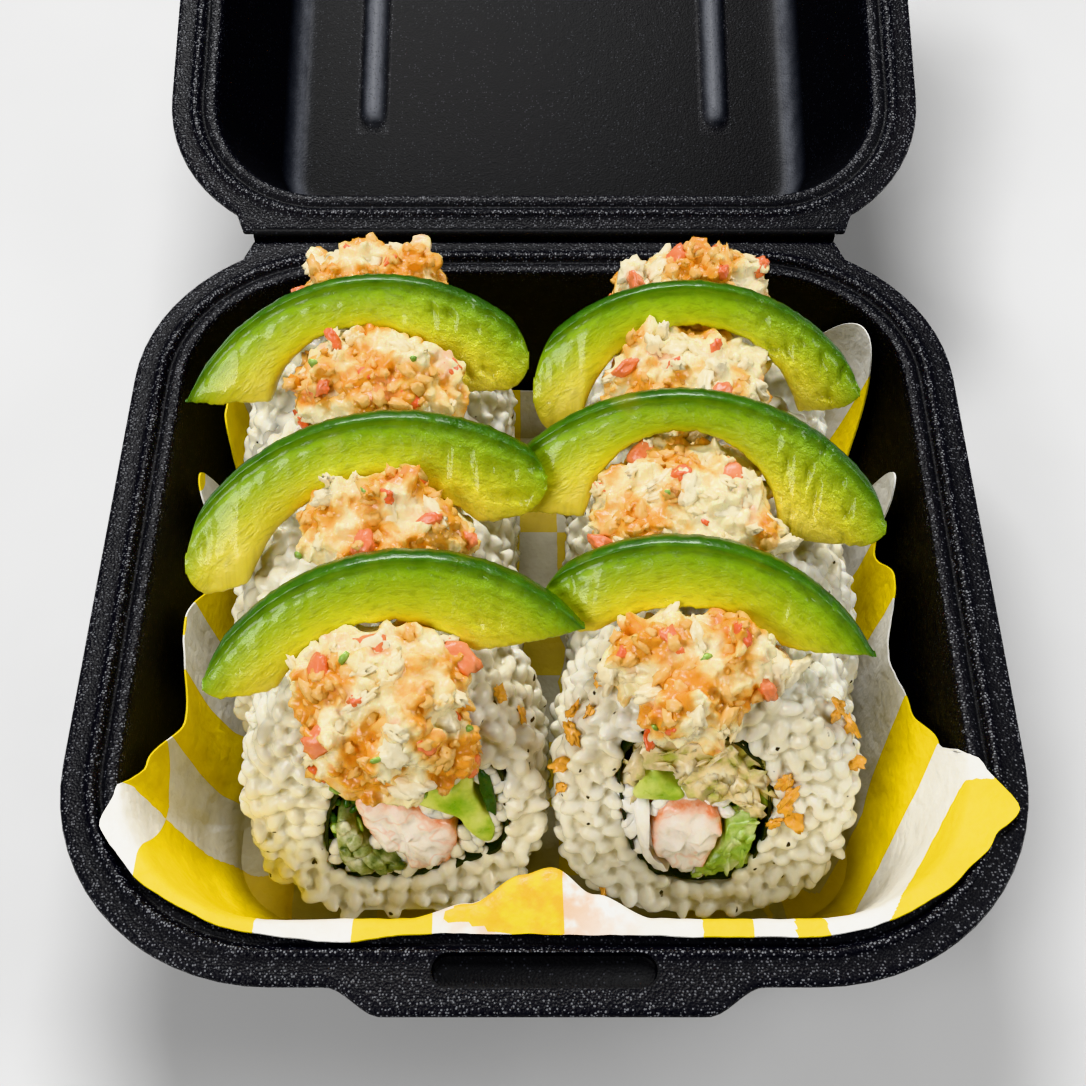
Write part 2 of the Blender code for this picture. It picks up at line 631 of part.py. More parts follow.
def chunk(name, mounds, draw, where):
    """One chopped piece, half sunk in the upper side of a mound."""
    centre, half, _ = draw.choice(mounds)
    turn = draw.uniform(0, 2 * pi)
    lift = draw.uniform(0.25, 1)
    flat = sqrt(1 - lift * lift)
    place = Vector((half[0] * flat * cos(turn), half[1] * flat * sin(turn), half[2] * lift))
    bm = bmesh.new()
    bmesh.ops.create_cube(bm, size=2)
    size = [draw.uniform(1.3, 2.6) for _ in range(3)]
    bmesh.ops.scale(bm, vec=Vector(size) * MM, verts=bm.verts)
    axis = Vector((draw.random(), draw.random(), 1))
    spin = Matrix.Rotation(draw.uniform(0, 2 * pi), 3, axis)
    bmesh.ops.rotate(bm, matrix=spin, verts=bm.verts)
    bmesh.ops.translate(bm, vec=(Vector(centre) + place * 0.97) * MM, verts=bm.verts)
    return add_object(name, finished(bm, name), where)


def keep_largest(mesh):
    """Drops every loose scrap but the largest closed body."""
    bm = bmesh.new()
    bm.from_mesh(mesh)
    left = set(bm.verts)
    bodies = []
    while left:
        body = set()
        waiting = [left.pop()]
        while waiting:
            vert = waiting.pop()
            body.add(vert)
            for edge in vert.link_edges:
                other = edge.other_vert(vert)
                if other in left:
                    left.discard(other)
                    waiting.append(other)
        bodies.append(body)
    keep = max(bodies, key=len)
    bmesh.ops.delete(bm, geom=[v for v in bm.verts if v not in keep], context="VERTS")
    bmesh.ops.dissolve_degenerate(bm, dist=0.02 * MM, edges=bm.edges)
    bmesh.ops.dissolve_limit(bm, angle_limit=radians(8), verts=bm.verts, edges=bm.edges)
    bmesh.ops.triangulate(bm, faces=bm.faces)
    bm.to_mesh(mesh)
    bm.free()


def roll_room(side, where):
    """The room that a whole row of rolls takes up, with the gap to what lies on it."""
    made = []
    for number, row_x in enumerate(ROW_X[side]):
        front = ROW_FRONT_Y + number * PIECE_PITCH
        section = roll_section(20, GRAIN_BUMP + 0.6 * MM)
        depths = (-0.5 * MM, PIECE_LENGTH + 0.5 * MM)
        loops = [[on_face(p.x, p.y, depth, row_x, front) for p in section] for depth in depths]
        name = f"roll_room_{side}_{number + 1}"
        made.append(cutter(add_object(name, finished(loft(loops), name), where)))
    return made


def boolean(obj, operation, others):
    for other in others:
        step = obj.modifiers.new(other.name, "BOOLEAN")
        step.operation = operation
        step.object = other


def make_heaps(parts, cutters, slice_room):
    rooms = {side: roll_room(side, cutters) for side in ROW_X}
    for order, (name, (first, second, count)) in enumerate(HEAPS.items()):
        draw = random.Random(40 + order)
        mounds = [shape for shape in (first, second) if shape]
        core, *more = [mound(f"mound_{name}_{k}", *m, cutters) for k, m in enumerate(mounds)]
        more += [chunk(f"chunk_{name}_{k}", mounds, draw, cutters) for k in range(count)]
        boolean(core, "UNION", more)
        boolean(core, "DIFFERENCE", rooms[name.split("_")[0]] + slice_room)
        bpy.context.view_layer.update()
        evaluated = core.evaluated_get(bpy.context.evaluated_depsgraph_get())
        mesh = bpy.data.meshes.new_from_object(evaluated)
        mesh.name = f"topping_{name}"
        keep_largest(mesh)
        add_object(mesh.name, mesh, parts, "topping")
        for used in (core, *more):
            bpy.data.objects.remove(used, do_unlink=True)


def main():
    clear_scene()
    parts = collection("takeaway_uramaki")
    cutters = collection("cutters")
    make_base(parts, cutters)
    make_lid(parts, cutters)
    make_paper(parts)
    make_rows(parts)
    slice_room = make_slices(parts, cutters)
    make_heaps(parts, cutters, slice_room)


main()
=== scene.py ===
# %% [markdown]
# An open foam takeaway box, lined with checked paper, holds two rows of uramaki: sushi
# rolled with the rice outside. Heaps of chopped topping lie on the rolls, and six
# avocado slices lie over the heaps. The solid model is loaded first, because every
# piece below takes its place from it.

# %% Load the solid model

import random
from math import cos, pi, radians, sin, sqrt

import bmesh
import bpy
import numpy as np
from mathutils import Matrix, Vector, noise
from mathutils.bvhtree import BVHTree
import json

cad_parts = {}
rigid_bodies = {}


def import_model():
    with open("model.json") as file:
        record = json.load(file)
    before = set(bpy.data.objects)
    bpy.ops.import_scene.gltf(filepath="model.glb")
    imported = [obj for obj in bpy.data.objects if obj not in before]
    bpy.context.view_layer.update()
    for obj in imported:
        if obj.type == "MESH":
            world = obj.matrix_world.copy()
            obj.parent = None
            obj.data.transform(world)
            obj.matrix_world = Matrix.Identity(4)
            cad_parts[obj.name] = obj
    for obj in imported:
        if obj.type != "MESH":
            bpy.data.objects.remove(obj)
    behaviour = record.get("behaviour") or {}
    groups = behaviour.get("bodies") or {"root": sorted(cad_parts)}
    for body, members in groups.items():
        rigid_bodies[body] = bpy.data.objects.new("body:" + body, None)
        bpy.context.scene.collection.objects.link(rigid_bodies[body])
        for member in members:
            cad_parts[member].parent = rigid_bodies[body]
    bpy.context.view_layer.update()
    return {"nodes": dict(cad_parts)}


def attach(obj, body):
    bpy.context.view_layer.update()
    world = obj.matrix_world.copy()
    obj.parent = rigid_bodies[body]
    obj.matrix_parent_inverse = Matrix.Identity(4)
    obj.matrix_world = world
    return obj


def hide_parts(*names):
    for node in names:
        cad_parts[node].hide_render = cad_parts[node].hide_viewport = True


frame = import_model()
MM = 0.001
TRAY, LID = "tray", "lid"

# %% [markdown]
# The photograph was taken from the front and above, at about 55 degrees down. A camera
# with a 55 mm lens on a square picture gives the same lines. It comes first, so that
# each piece can be looked at as soon as it is made.

# %% Camera

def place_camera():
    data = bpy.data.cameras.new("camera")
    data.sensor_width = 36
    data.lens = 54.91
    data.clip_start = 0.01
    camera = bpy.data.objects.new("camera", data)
    camera.location = (-0.00021, -0.1616, 0.2704)
    camera.rotation_euler = (radians(35.09), 0, 0)
    bpy.context.scene.collection.objects.link(camera)
    bpy.context.scene.camera = camera


place_camera()

# %% [markdown]
# A material here is a small tree of nodes. One short function adds a node, sets it up
# and joins its inputs, so each finish below reads from top to bottom. Object
# coordinates are used for all patterns: they are the real metres of the object, so a
# grain of 1 mm is written as 1 mm, and nothing slides when the view changes.

# %% Helpers for materials

def plug(tree, socket, value):
    """A socket takes a plain value, or the output of another node."""
    if isinstance(value, bpy.types.NodeSocket):
        tree.links.new(value, socket)
    else:
        socket.default_value = value


def add(tree, kind, inputs=None, **settings):
    """One node, with its settings and what goes into it."""
    node = tree.nodes.new(kind)
    for key, value in settings.items():
        setattr(node, key, value)
    for key, value in (inputs or {}).items():
        socket = node.inputs[key] if isinstance(key, int) else next(
            s for s in node.inputs if key in (s.identifier, s.name))
        plug(tree, socket, value)
    return node


def new_look(name, **values):
    """A material with one shader. Values that are the same everywhere go straight in."""
    look = bpy.data.materials.new(name)
    look.use_nodes = True
    shader = look.node_tree.nodes["Principled BSDF"]
    for key, value in values.items():
        shader.inputs[key.replace("_", " ")].default_value = value
    return look, look.node_tree, shader


def place_of(tree):
    return add(tree, "ShaderNodeTexCoord").outputs["Object"]


def specks(tree, size, detail=3, place=None, rough=0.55):
    """Cloudy noise whose patches are about size metres across, from 0 to 1."""
    inputs = {"Vector": place or place_of(tree), "Scale": 1 / size, "Detail": detail,
              "Roughness": rough}
    return add(tree, "ShaderNodeTexNoise", inputs).outputs["Fac"]


def stored(tree, name):
    """A value that the mesh keeps at each point."""
    return add(tree, "ShaderNodeAttribute", attribute_name=name).outputs["Fac"]


def ramp(tree, value, *stops):
    """Colours by a value: each stop is a place and a grey or a colour."""
    node = add(tree, "ShaderNodeValToRGB", {"Fac": value})
    marks = node.color_ramp.elements
    while len(marks) < len(stops):
        marks.new(0.5)
    for mark, (place, colour) in zip(marks, stops):
        mark.position = place
        mark.color = (colour,) * 3 + (1,) if isinstance(colour, (int, float)) else (*colour, 1)
    return node.outputs["Color"]


def mixed(tree, share, a, b, blend="MIX"):
    def coloured(value):
        return (*value, 1) if isinstance(value, tuple) else value
    inputs = {"Factor_Float": share, "A_Color": coloured(a), "B_Color": coloured(b)}
    node = add(tree, "ShaderNodeMix", inputs, data_type="RGBA", blend_type=blend)
    return next(s for s in node.outputs if s.identifier == "Result_Color")


def maths(tree, operation, a, b=0.0, c=0.0, clamp=False):
    node = add(tree, "ShaderNodeMath", {0: a, 1: b, 2: c}, operation=operation, use_clamp=clamp)
    return node.outputs[0]


def uneven(tree, size, low, high):
    """A roughness that drifts from low to high in patches about size metres across."""
    return ramp(tree, specks(tree, size), (0.3, low), (0.7, high))


def finish(tree, shader, colour, roughness, *layers):
    """Ends a look. Each layer of bumps is a height from 0 to 1, its depth and its strength."""
    plug(tree, shader.inputs["Base Color"], colour)
    plug(tree, shader.inputs["Roughness"], roughness)
    normal = None
    for height, depth, strength in layers:
        inputs = {"Height": height, "Distance": depth, "Strength": strength}
        if normal:
            inputs["Normal"] = normal
        normal = add(tree, "ShaderNodeBump", inputs).outputs["Normal"]
    if normal:
        tree.links.new(normal, shader.inputs["Normal"])


# %% [markdown]
# Pieces are made as lists of rings of points. A skin is laid over the rings, each point
# may carry a value that the material reads, and one function gives the finished piece
# its material, the body it rides on and the solid it stands for.

# %% Helpers for shapes

def skin(loops, values=None, caps=(True, True), around=True):
    """Faces over rings of points. values holds lists like loops under each name."""
    bm = bmesh.new()
    layers = {name: bm.verts.layers.float.new(name) for name in values or {}}
    rows = []
    for i, loop in enumerate(loops):
        row = []
        for j, point in enumerate(loop):
            vert = bm.verts.new(point)
            for name, layer in layers.items():
                vert[layer] = values[name][i][j]
            row.append(vert)
        rows.append(row)
    count = len(rows[0])
    for lower, upper in zip(rows, rows[1:]):
        for i in range(count if around else count - 1):
            j = (i + 1) % count
            bm.faces.new((lower[i], lower[j], upper[j], upper[i]))
    for cap, row in zip(caps, (rows[0], rows[-1])):
        if cap:
            bm.faces.new(row)
    return bm


def as_mesh(bm, name, sharp=None):
    """The faces as they are, shaded smooth but for edges of more than sharp degrees."""
    mesh = bpy.data.meshes.new(name)
    bm.to_mesh(mesh)
    bm.free()
    mesh.shade_smooth()
    if sharp:
        mesh.set_sharp_from_angle(angle=radians(sharp))
    return mesh


def to_mesh(bm, name, sharp=None):
    """The same for a closed skin, whose faces are first turned to point outwards."""
    bmesh.ops.recalc_face_normals(bm, faces=bm.faces)
    return as_mesh(bm, name, sharp)


def keep(mesh, name, values):
    """Stores one value for each point, for a material to read."""
    layer = mesh.attributes.get(name) or mesh.attributes.new(name, "FLOAT", "POINT")
    layer.data.foreach_set("value", values)


def put(name, mesh):
    obj = bpy.data.objects.new(name, mesh)
    bpy.context.scene.collection.objects.link(obj)
    return obj


def applied(obj, name):
    """The object with its modifiers worked in, as a plain mesh."""
    bpy.context.view_layer.update()
    seen = bpy.context.evaluated_depsgraph_get()
    mesh = bpy.data.meshes.new_from_object(obj.evaluated_get(seen), depsgraph=seen)
    mesh.name = name
    return mesh


def remove(*objects):
    for obj in objects:
        bpy.data.objects.remove(obj, do_unlink=True)


def piece(name, mesh, look, replaces=(), body=TRAY):
    obj = put(name, mesh)
    mesh.materials.clear()
    mesh.materials.append(look)
    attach(obj, body)
    if replaces:
        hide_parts(*replaces)
    return obj


# %% [markdown]
# The box is black polystyrene foam, blown from small beads. Each bead has a tiny flat skin
# that glints, painted into the colour as light dots, so the foam looks like black paper
# strewn with salt: thick on the ridges of the rim, thin inside. A value called rim, which
# the mesh keeps at each point, says how much painted glint there is: 1 on a crest and about
# 0.1 on a wall. A second value is a grey painted highlight on the ribs and the creases.

# %% Foam finish

BEAD = 0.44 * MM


def foam_look():
    look, tree, shader = new_look("black_foam", IOR=1.42, Specular_IOR_Level=0.35)
    rim = stored(tree, "rim")
    drift = specks(tree, 3.5 * MM, 4)
    share = maths(tree, "MULTIPLY_ADD", drift, 0.9, maths(tree, "MULTIPLY_ADD", rim, 0.6, -0.15))
    bead = add(tree, "ShaderNodeTexVoronoi", {"Vector": place_of(tree), "Scale": 1 / BEAD}).outputs
    # Beads picked at random, more of them on the crests, get a painted glint.
    chosen = maths(tree, "GREATER_THAN", maths(tree, "MULTIPLY", share, 0.62), bead["Color"])
    dot = ramp(tree, bead["Distance"], (0.26, 1.0), (0.44, 0.0))
    dot = maths(tree, "MULTIPLY", dot, chosen)
    # Painted highlight: the glints are brighter on the crests, and the dark ground is a little lighter
    # there.
    light = ramp(tree, rim, (0.1, (0.030, 0.031, 0.035)), (0.5, (0.09, 0.092, 0.10)),
                 (1.0, (0.20, 0.205, 0.22)))
    ground = ramp(tree, rim, (0.1, (0.0026, 0.0026, 0.0031)), (0.8, (0.007, 0.007, 0.009)))
    patchy = maths(tree, "MULTIPLY_ADD", drift, 1.1, 0.35)
    # Painted highlight: grey on the ribs and along the crease between floor and wall.
    scuff = maths(tree, "MULTIPLY", stored(tree, "worn"), patchy, clamp=True)
    ground = mixed(tree, scuff, ground, (0.11, 0.115, 0.13))
    beads = maths(tree, "MULTIPLY", bead["Distance"], maths(tree, "MULTIPLY_ADD", rim, 0.8, 0.3))
    finish(tree, shader, mixed(tree, dot, ground, light), maths(tree, "MULTIPLY_ADD", rim, -0.2, 0.62),
           (beads, 0.16 * MM, 0.8), (specks(tree, 0.9 * MM), 0.12 * MM, 0.4))
    return look


FOAM_LOOK = foam_look()

# %% [markdown]
# The box is a common 6 inch one, 152 mm across its flange. These are its sizes: the flange,
# the lean of the walls, the hinge, the tab, the lock and the two ribs of the lid.

# %% Sizes of the box

BOX_HALF = 76 * MM
BASE_CORNER = 36 * MM
LID_CORNER = 31.5 * MM
SHUT_PLANE = 38 * MM
RIDGE_DROP = 0.4 * MM
BAND_DROP = RIDGE_DROP + 0.5 * MM
FLANGE = 9.7 * MM
FOAM = 2.2 * MM
BASE_DRAFT = 7.8 * MM
LID_DRAFT = 9.6 * MM
LID_DEPTH = 36 * MM
HINGE = Vector((0, 76.3 * MM, SHUT_PLANE))
HINGE_HALF = 57.5 * MM
HINGE_BAR = 1 * MM
HINGE_EDGE = 75.0 * MM
LID_OPEN = radians(163)
TAB_ROOT, TAB_TIP, TAB_REACH = 31 * MM, 24.6 * MM, 4.4 * MM
LOCK_HALF, LOCK_WIDTH, LOCK_DEPTH, LOCK_Y = 16.5 * MM, 5 * MM, 1.2 * MM, -73.8 * MM
RIB_X, RIB_LENGTH, RIB_WIDTH, RIB_HEIGHT = 38.5 * MM, 62 * MM, 6.5 * MM, 1.9 * MM
SHARP = 42
CORNER_STEPS = (0, 6, 12, 18, 24, 30, 36, 42, 48, 54, 58, 61, 66, 72, 78, 84, 90)
print("box across, in mm:", round(2 * BOX_HALF / MM))

# %% [markdown]
# Tray and lid have the same section: floor, leaning wall, two ridges on the flange and a
# thin outer lip. It is written once as a few points, and its corners are cut twice, as a
# mould maker rounds them with a file.

# %% Section of the box

def box_section(draft, depth):
    """From the floor's middle over the rim to the underside: inset, height, reach, beads."""
    top = depth - RIDGE_DROP
    inner = FLANGE + draft
    outer = FLANGE - FOAM
    rows = [
        (inner + 9 * MM, FOAM, 0, 0.1), (inner + 4.2 * MM, FOAM, 0, 0.1),
        (inner + 1.6 * MM, FOAM + 0.9 * MM, 0, 0.5), (inner, 7 * MM, 0, 0.1),
        (FLANGE, top - 2.9 * MM, 0, 0.1), (FLANGE - 0.5 * MM, top - 1.3 * MM, 0, 0.5),
        (FLANGE - 1.2 * MM, top - 0.75 * MM, 0, 0.85), (FLANGE - 2.6 * MM, top - 0.75 * MM, 0, 0.5),
        (FLANGE - 3.5 * MM, top - 1.3 * MM, 0, 0.15), (FLANGE - 4.4 * MM, top, 0, 1),
        (FLANGE - 5.3 * MM, top, 0, 1), (FLANGE - 5.8 * MM, top - 0.5 * MM, 0, 0.35),
        (0.5 * MM, top - 0.5 * MM, 1, 0.75), (0, top - 1.1 * MM, 1, 1), (0, top - 1.9 * MM, 1, 0.6),
        (0.9 * MM, top - 2.5 * MM, 1, 0.3), (outer - 0.5 * MM, top - 2.5 * MM, 0, 0.3),
        (outer + 0.2 * MM, top - 3.4 * MM, 0, 0.3), (outer + 0.96 * draft, 4.5 * MM, 0, 0.3),
        (outer + draft + 1.4 * MM, 1.4 * MM, 0, 0.5), (outer + draft + 4 * MM, 0, 0, 0.3),
        (outer + draft + 9 * MM, 0, 0, 0.3),
    ]
    rows = [Vector(row) for row in rows]
    for cut in (1.5 * MM, 0.6 * MM):
        eased = [rows[0]]
        for before, here, after in zip(rows, rows[1:], rows[2:]):
            for other in (before, after):
                length = (other - here).to_2d().length
                eased.append(here.lerp(other, min(0.3, cut / length)))
        rows = eased + [rows[-1]]
    return rows


print("rings in the tray's skin:", len(box_section(BASE_DRAFT, SHUT_PLANE)))

# %% [markdown]
# The section is run round a square with round corners. Each of its points becomes one
# level ring. The front takes in the tab, and the back the straight edge of the hinge.

# %% Rings of the box

def box_ring(corner, inset, z, reach):
    """One level ring of the box. reach brings in the tab and the hinge's edge."""
    half, radius = BOX_HALF - inset, corner - inset
    centre = half - radius
    ring = []
    for quadrant in range(4):
        steps = CORNER_STEPS
        if quadrant in (1, 3):
            steps = [90 - step for step in reversed(CORNER_STEPS)]
        middle_x = centre if quadrant in (0, 3) else -centre
        middle_y = centre if quadrant in (0, 1) else -centre
        for step in steps:
            angle = radians(90 * quadrant + step)
            x, y = middle_x + radius * cos(angle), middle_y + radius * sin(angle)
            if quadrant < 2 and (step if quadrant == 0 else 90 - step) >= 61:
                y += (HINGE_EDGE - y) * reach
            ring.append(Vector((x, y, z)))
        if quadrant == 2:
            for k in range(-30, 31):
                x = k * 1.2 * MM
                out = min(1, max(0, (TAB_ROOT + 1 * MM - abs(x)) / (TAB_ROOT - TAB_TIP + 2 * MM)))
                out = out * out * (3 - 2 * out)
                ring.append(Vector((x, -half - out * reach * TAB_REACH, z)))
    return ring


def box_skin(corner, draft, depth):
    loops, rim, worn = [], [], []
    side = BOX_HALF - FLANGE - draft - 12 * MM
    for inset, height, reach, beads in box_section(draft, depth):
        loops.append(box_ring(corner, inset, height, reach))
        rim.append([beads] * len(loops[-1]))
        # Painted highlight along the crease between floor and wall, on the left and right sides only.
        from_crease = abs(inset - FLANGE - draft - 1.8 * MM)
        crease = max(0, 1 - from_crease / (2.4 * MM)) if height > FOAM / 2 else 0
        worn.append([crease * min(1, max(0, (abs(p.x) - side) / (8 * MM))) for p in loops[-1]])
    return loops, {"rim": rim, "worn": worn}


print("points in a ring:", len(box_ring(BASE_CORNER, FLANGE, SHUT_PLANE, 0)))

# %% [markdown]
# The tray gets a shallow slot in its front band, which takes the bead of the lid, and a
# round bead along the back, about which the lid folds. The slot is cut with a Boolean,
# since a clean step is what the mould leaves there.

# %% Tray

def pill(half_length, width, low, high, y):
    """A slab with round ends that runs from left to right."""
    radius = width / 2
    outline = []
    for side in (1, -1):
        for step in range(13):
            angle = radians(15 * step - 90 * side)
            across = side * (half_length - radius) + radius * cos(angle)
            outline.append((across, y + radius * sin(angle)))
    inner = [(x * 0.985, y + (b - y) * 0.8) for x, b in outline]
    levels = ((inner, low), (outline, low + 0.3 * MM), (outline, high - 0.3 * MM), (inner, high))
    return skin([[Vector((x, b, z)) for x, b in ring] for ring, z in levels])


def rim_of(mesh, value):
    keep(mesh, "rim", [value] * len(mesh.vertices))
    return mesh


def cut(obj, tool, operation):
    step = obj.modifiers.new(operation, "BOOLEAN")
    step.operation, step.object = operation, tool


def make_tray():
    loops, values = box_skin(BASE_CORNER, BASE_DRAFT, SHUT_PLANE)
    body = put("tray_body", to_mesh(skin(loops, values), "tray_body"))
    band = SHUT_PLANE - BAND_DROP
    slot = to_mesh(pill(LOCK_HALF, LOCK_WIDTH, band - LOCK_DEPTH, band + 2 * MM, LOCK_Y), "slot")
    slot = put("slot", rim_of(slot, 0.8))
    cut(body, slot, "DIFFERENCE")
    outline = [(-3.2, -1.2), (-3.2, -2.3), (0.3, -2.3)]
    outline += [(cos(radians(17 * k - 61)), sin(radians(17 * k - 61))) for k in range(17)]
    outline.append((-0.9, -1.2))
    half = HINGE_HALF - 0.3 * MM
    ends = [[HINGE + Vector((x, y * HINGE_BAR, z * HINGE_BAR)) for y, z in outline]
            for x in (-half, half)]
    bar = put("bar", rim_of(to_mesh(skin(ends), "bar", 50), 0.7))
    cut(body, bar, "UNION")
    mesh = applied(body, "foam_tray")
    mesh.set_sharp_from_angle(angle=radians(SHARP))
    remove(body, slot, bar)
    return piece("foam_tray", mesh, FOAM_LOOK, ["box_base"])


tray = make_tray()
print("tray faces:", len(tray.data.polygons))

# %% [markdown]
# The lid is drawn shut and turned back about the hinge. Its two stiffening ribs are
# pressed into the ceiling, so they rise out of it without an edge. A strip of mesh whose
# middle is lifted along a cosine does that better than a Boolean would.

# %% Lid

def rib_strip(x_middle, ceiling):
    """A soft rib: a strip that lies on the ceiling and bulges along its middle."""
    rows, worn = [], []
    for i in range(45):
        y = (i / 44 - 0.5) * (RIB_LENGTH + 4 * MM)
        row = []
        worn.append([])
        for j in range(17):
            x = (j / 16 - 0.5) * (RIB_WIDTH + 1 * MM)
            along = max(0, abs(y) - (RIB_LENGTH - RIB_WIDTH) / 2)
            away = min(1, sqrt(x * x + along * along) / (RIB_WIDTH / 2))
            rise = RIB_HEIGHT * (0.5 + 0.5 * cos(pi * away)) ** 0.8
            row.append(Vector((x_middle + x, y, ceiling - rise - 0.02 * MM)))
            # Painted highlight along the crest of each rib.
            worn[-1].append(1.6 * (rise / RIB_HEIGHT) ** 1.5)
        rows.append(row)
    return skin(rows, {"rim": [[0.3] * 17] * 45, "worn": worn}, caps=(False, False), around=False)


def make_lid():
    loops, values = box_skin(LID_CORNER, LID_DRAFT, LID_DEPTH)
    top = SHUT_PLANE + LID_DEPTH
    loops = [[Vector((p.x, p.y, top - p.z)) for p in loop] for loop in loops]
    body = put("lid_body", to_mesh(skin(loops, values), "lid_body"))
    band = SHUT_PLANE + BAND_DROP
    lock = pill(LOCK_HALF - 0.6 * MM, LOCK_WIDTH - 1.2 * MM, SHUT_PLANE - 1.2 * MM,
                band + 0.8 * MM, LOCK_Y)
    lock = put("lock", rim_of(to_mesh(lock, "lock"), 0.8))
    cut(body, lock, "UNION")
    bm = bmesh.new()
    bm.from_mesh(applied(body, "lid"))
    for side in (-1, 1):
        strip = to_mesh(rib_strip(side * RIB_X, top - FOAM), "rib")
        if sum((p.normal for p in strip.polygons), Vector()).z > 0:
            strip.flip_normals()
        bm.from_mesh(strip)
    fold = Matrix.Rotation(-LID_OPEN, 4, "X")
    turn = Matrix.Translation(HINGE) @ fold @ Matrix.Translation(-HINGE)
    bmesh.ops.transform(bm, matrix=turn, verts=bm.verts)
    mesh = as_mesh(bm, "foam_lid", SHARP)
    remove(body, lock)
    return piece("foam_lid", mesh, FOAM_LOOK, ["box_lid"], body=LID)


lid = make_lid()
print("lid faces:", len(lid.data.polygons))

# %% [markdown]
# The liner is greaseproof paper with a printed check, one square sheet pushed down into
# the tray. Its edge stands up in waves along the wall and laps over the rim at the front
# corners. The wave is written as a few heights round the box, eased between them.

# %% Paper liner: its edge

PAPER = 0.3 * MM
PAPER_LIFT = 0.35 * MM
PAPER_CLEAR = 0.9 * MM
OVER_RIM = 36.5
# Around the box from the right: degrees, height of the edge, how far it leans in
PAPER_EDGE = (
    (0, 30, 2.5), (8, 25, 3), (17, 34, 2), (27, 11, 1.5), (41, 36, 1), (57, 13, 1.5),
    (90, 12, 1), (122, 14, 1), (148, 29, 3.5), (155, 15, 2), (162, 33, 2.5), (173, 22, 3.5),
    (189, 30, 2), (204, 27, 3), (211, 33, 1), (214, 37, 0), (217, 40, 0), (222, 39.2, 0),
    (230, 37.9, 0), (237, 38.2, 0), (247, 39.7, 0), (253, 38.6, 0), (260, 38.2, 2.5),
    (267, 38.4, 7), (271, 38.4, 8), (277, 38.6, 4), (284, 38.8, 0), (298, 39, 0),
    (305, 38.6, 0), (311, 38.9, 0), (317, 39.8, 0), (322, 41.5, 0), (326.5, 44, 0),
    (329.5, 38.6, 0), (332, 32, 0.5), (338, 27, 1.6), (347, 26, 3.5),
)
PAPER_ROWS = (0, 0.15, 0.45, 0.8, 0.94, 1)
PAPER_COLUMNS = 720


def between(keys, angle):
    for key, after in zip(keys, keys[1:] + keys[:1]):
        span = (after[0] - key[0]) % 360
        along = (angle - key[0]) % 360
        if along <= span:
            share = 0.5 - 0.5 * cos(pi * along / span)
            return tuple(a + share * (b - a) for a, b in zip(key[1:], after[1:]))


def square_point(half, radius, angle, z):
    """Where a ray from the middle meets a square with round corners."""
    turn = radians(angle)
    dx, dy = abs(cos(turn)), abs(sin(turn))
    centre = half - radius
    reach = half / max(dx, dy)
    if min(reach * dx, reach * dy) > centre:
        along = (dx + dy) * centre
        reach = along + sqrt(max(0, along**2 - 2 * centre**2 + radius**2))
    return Vector((reach * cos(turn), reach * sin(turn), z))


def paper_point(angle, share):
    height, lean = between(PAPER_EDGE, angle)
    low = FOAM + PAPER_LIFT
    wall_low, wall_high = 7 * MM, SHUT_PLANE - RIDGE_DROP - 2.9 * MM
    over = height - OVER_RIM
    if over > 0 and share > 0.8:
        inset = (9.3 + lean) * MM if share < 1 else (9.2 - over) * MM
        z = (37.4 + 0.3 * lean) * MM if share < 1 else min(37.3 + 0.2 * over, 37.95) * MM
    else:
        top = wall_high / 0.8 if over > 0 else height * MM
        z = low + (top - low) * share
        slope = BASE_DRAFT / (wall_high - wall_low)
        inset = FLANGE + slope * (wall_high - z) + PAPER_CLEAR + lean * MM * share**1.5
        inset += 3.4 * MM * max(0, 1 - (z - low) / (5 * MM))
    return square_point(BOX_HALF - inset, max(BASE_CORNER - inset, 8 * MM), angle, z)


def paper_column(angle):
    """One strip of the sheet, from the floor's middle up to the free edge."""
    wall = [paper_point(angle, share) for share in PAPER_ROWS]
    fine = []
    for a, b in zip(wall, wall[1:]):
        fine += [a.lerp(b, k / 7) for k in range(7)]
    fine.append(wall[-1])
    for _ in range(3):
        eased = [(a + 2 * b + c) / 4 for a, b, c in zip(fine, fine[1:], fine[2:])]
        fine = [fine[0], *eased, fine[-1]]
    floor = [Vector((fine[0].x * k / 10, fine[0].y * k / 10, fine[0].z)) for k in range(1, 10)]
    return floor + fine


print("strips of the sheet:", PAPER_COLUMNS, "points in each:", len(paper_column(0)))

# %% [markdown]
# The check was printed before the sheet was pushed in, and the folds shift it. So each
# point gets the number of the cell it belongs to, across and along. The right side of
# the sheet has slid askew, and at the front middle it is doubled.

# %% Paper liner: the printed check

# Where the printed lines cross the sheet, in millimetres from the middle of the box
CHECK_ACROSS = (-79, -62, -43, -28.4, -16.6, -4.8, 2.5, 23.6, 31, 37, 80)
CHECK_ALONG = (-80, -43, -31, -18, -4, 12, 29, 46, 63, 80)


def cell_number(value, lines):
    for number, (a, b) in enumerate(zip(lines, lines[1:])):
        if value < b or b == lines[-1]:
            return number + (value - a) / (b - a)


def check_cell(point):
    """Which cell of the printed check a point of the sheet is in, as two numbers."""
    x, y = point.x / MM, point.y / MM
    askew = 1.6 * min(1, max(0, (-8 - y) / 26)) * max(0, min(66 - x, (x - 37) * 3))
    across, along = cell_number(x, CHECK_ACROSS), cell_number(y + askew, CHECK_ALONG)
    if -17 < x < CHECK_ACROSS[6] and point.z > 37.8 * MM:
        across = 5.5  # the sheet is doubled here, so the cell in front shows
    return Vector((across, along))


print("cells of the check:", (len(CHECK_ACROSS) - 1) * (len(CHECK_ALONG) - 1))

# %% [markdown]
# The strips are joined into one sheet. Two sizes of noise push it inwards: broad waves,
# and sharp creases where the noise changes sign.

# %% Paper liner: the sheet

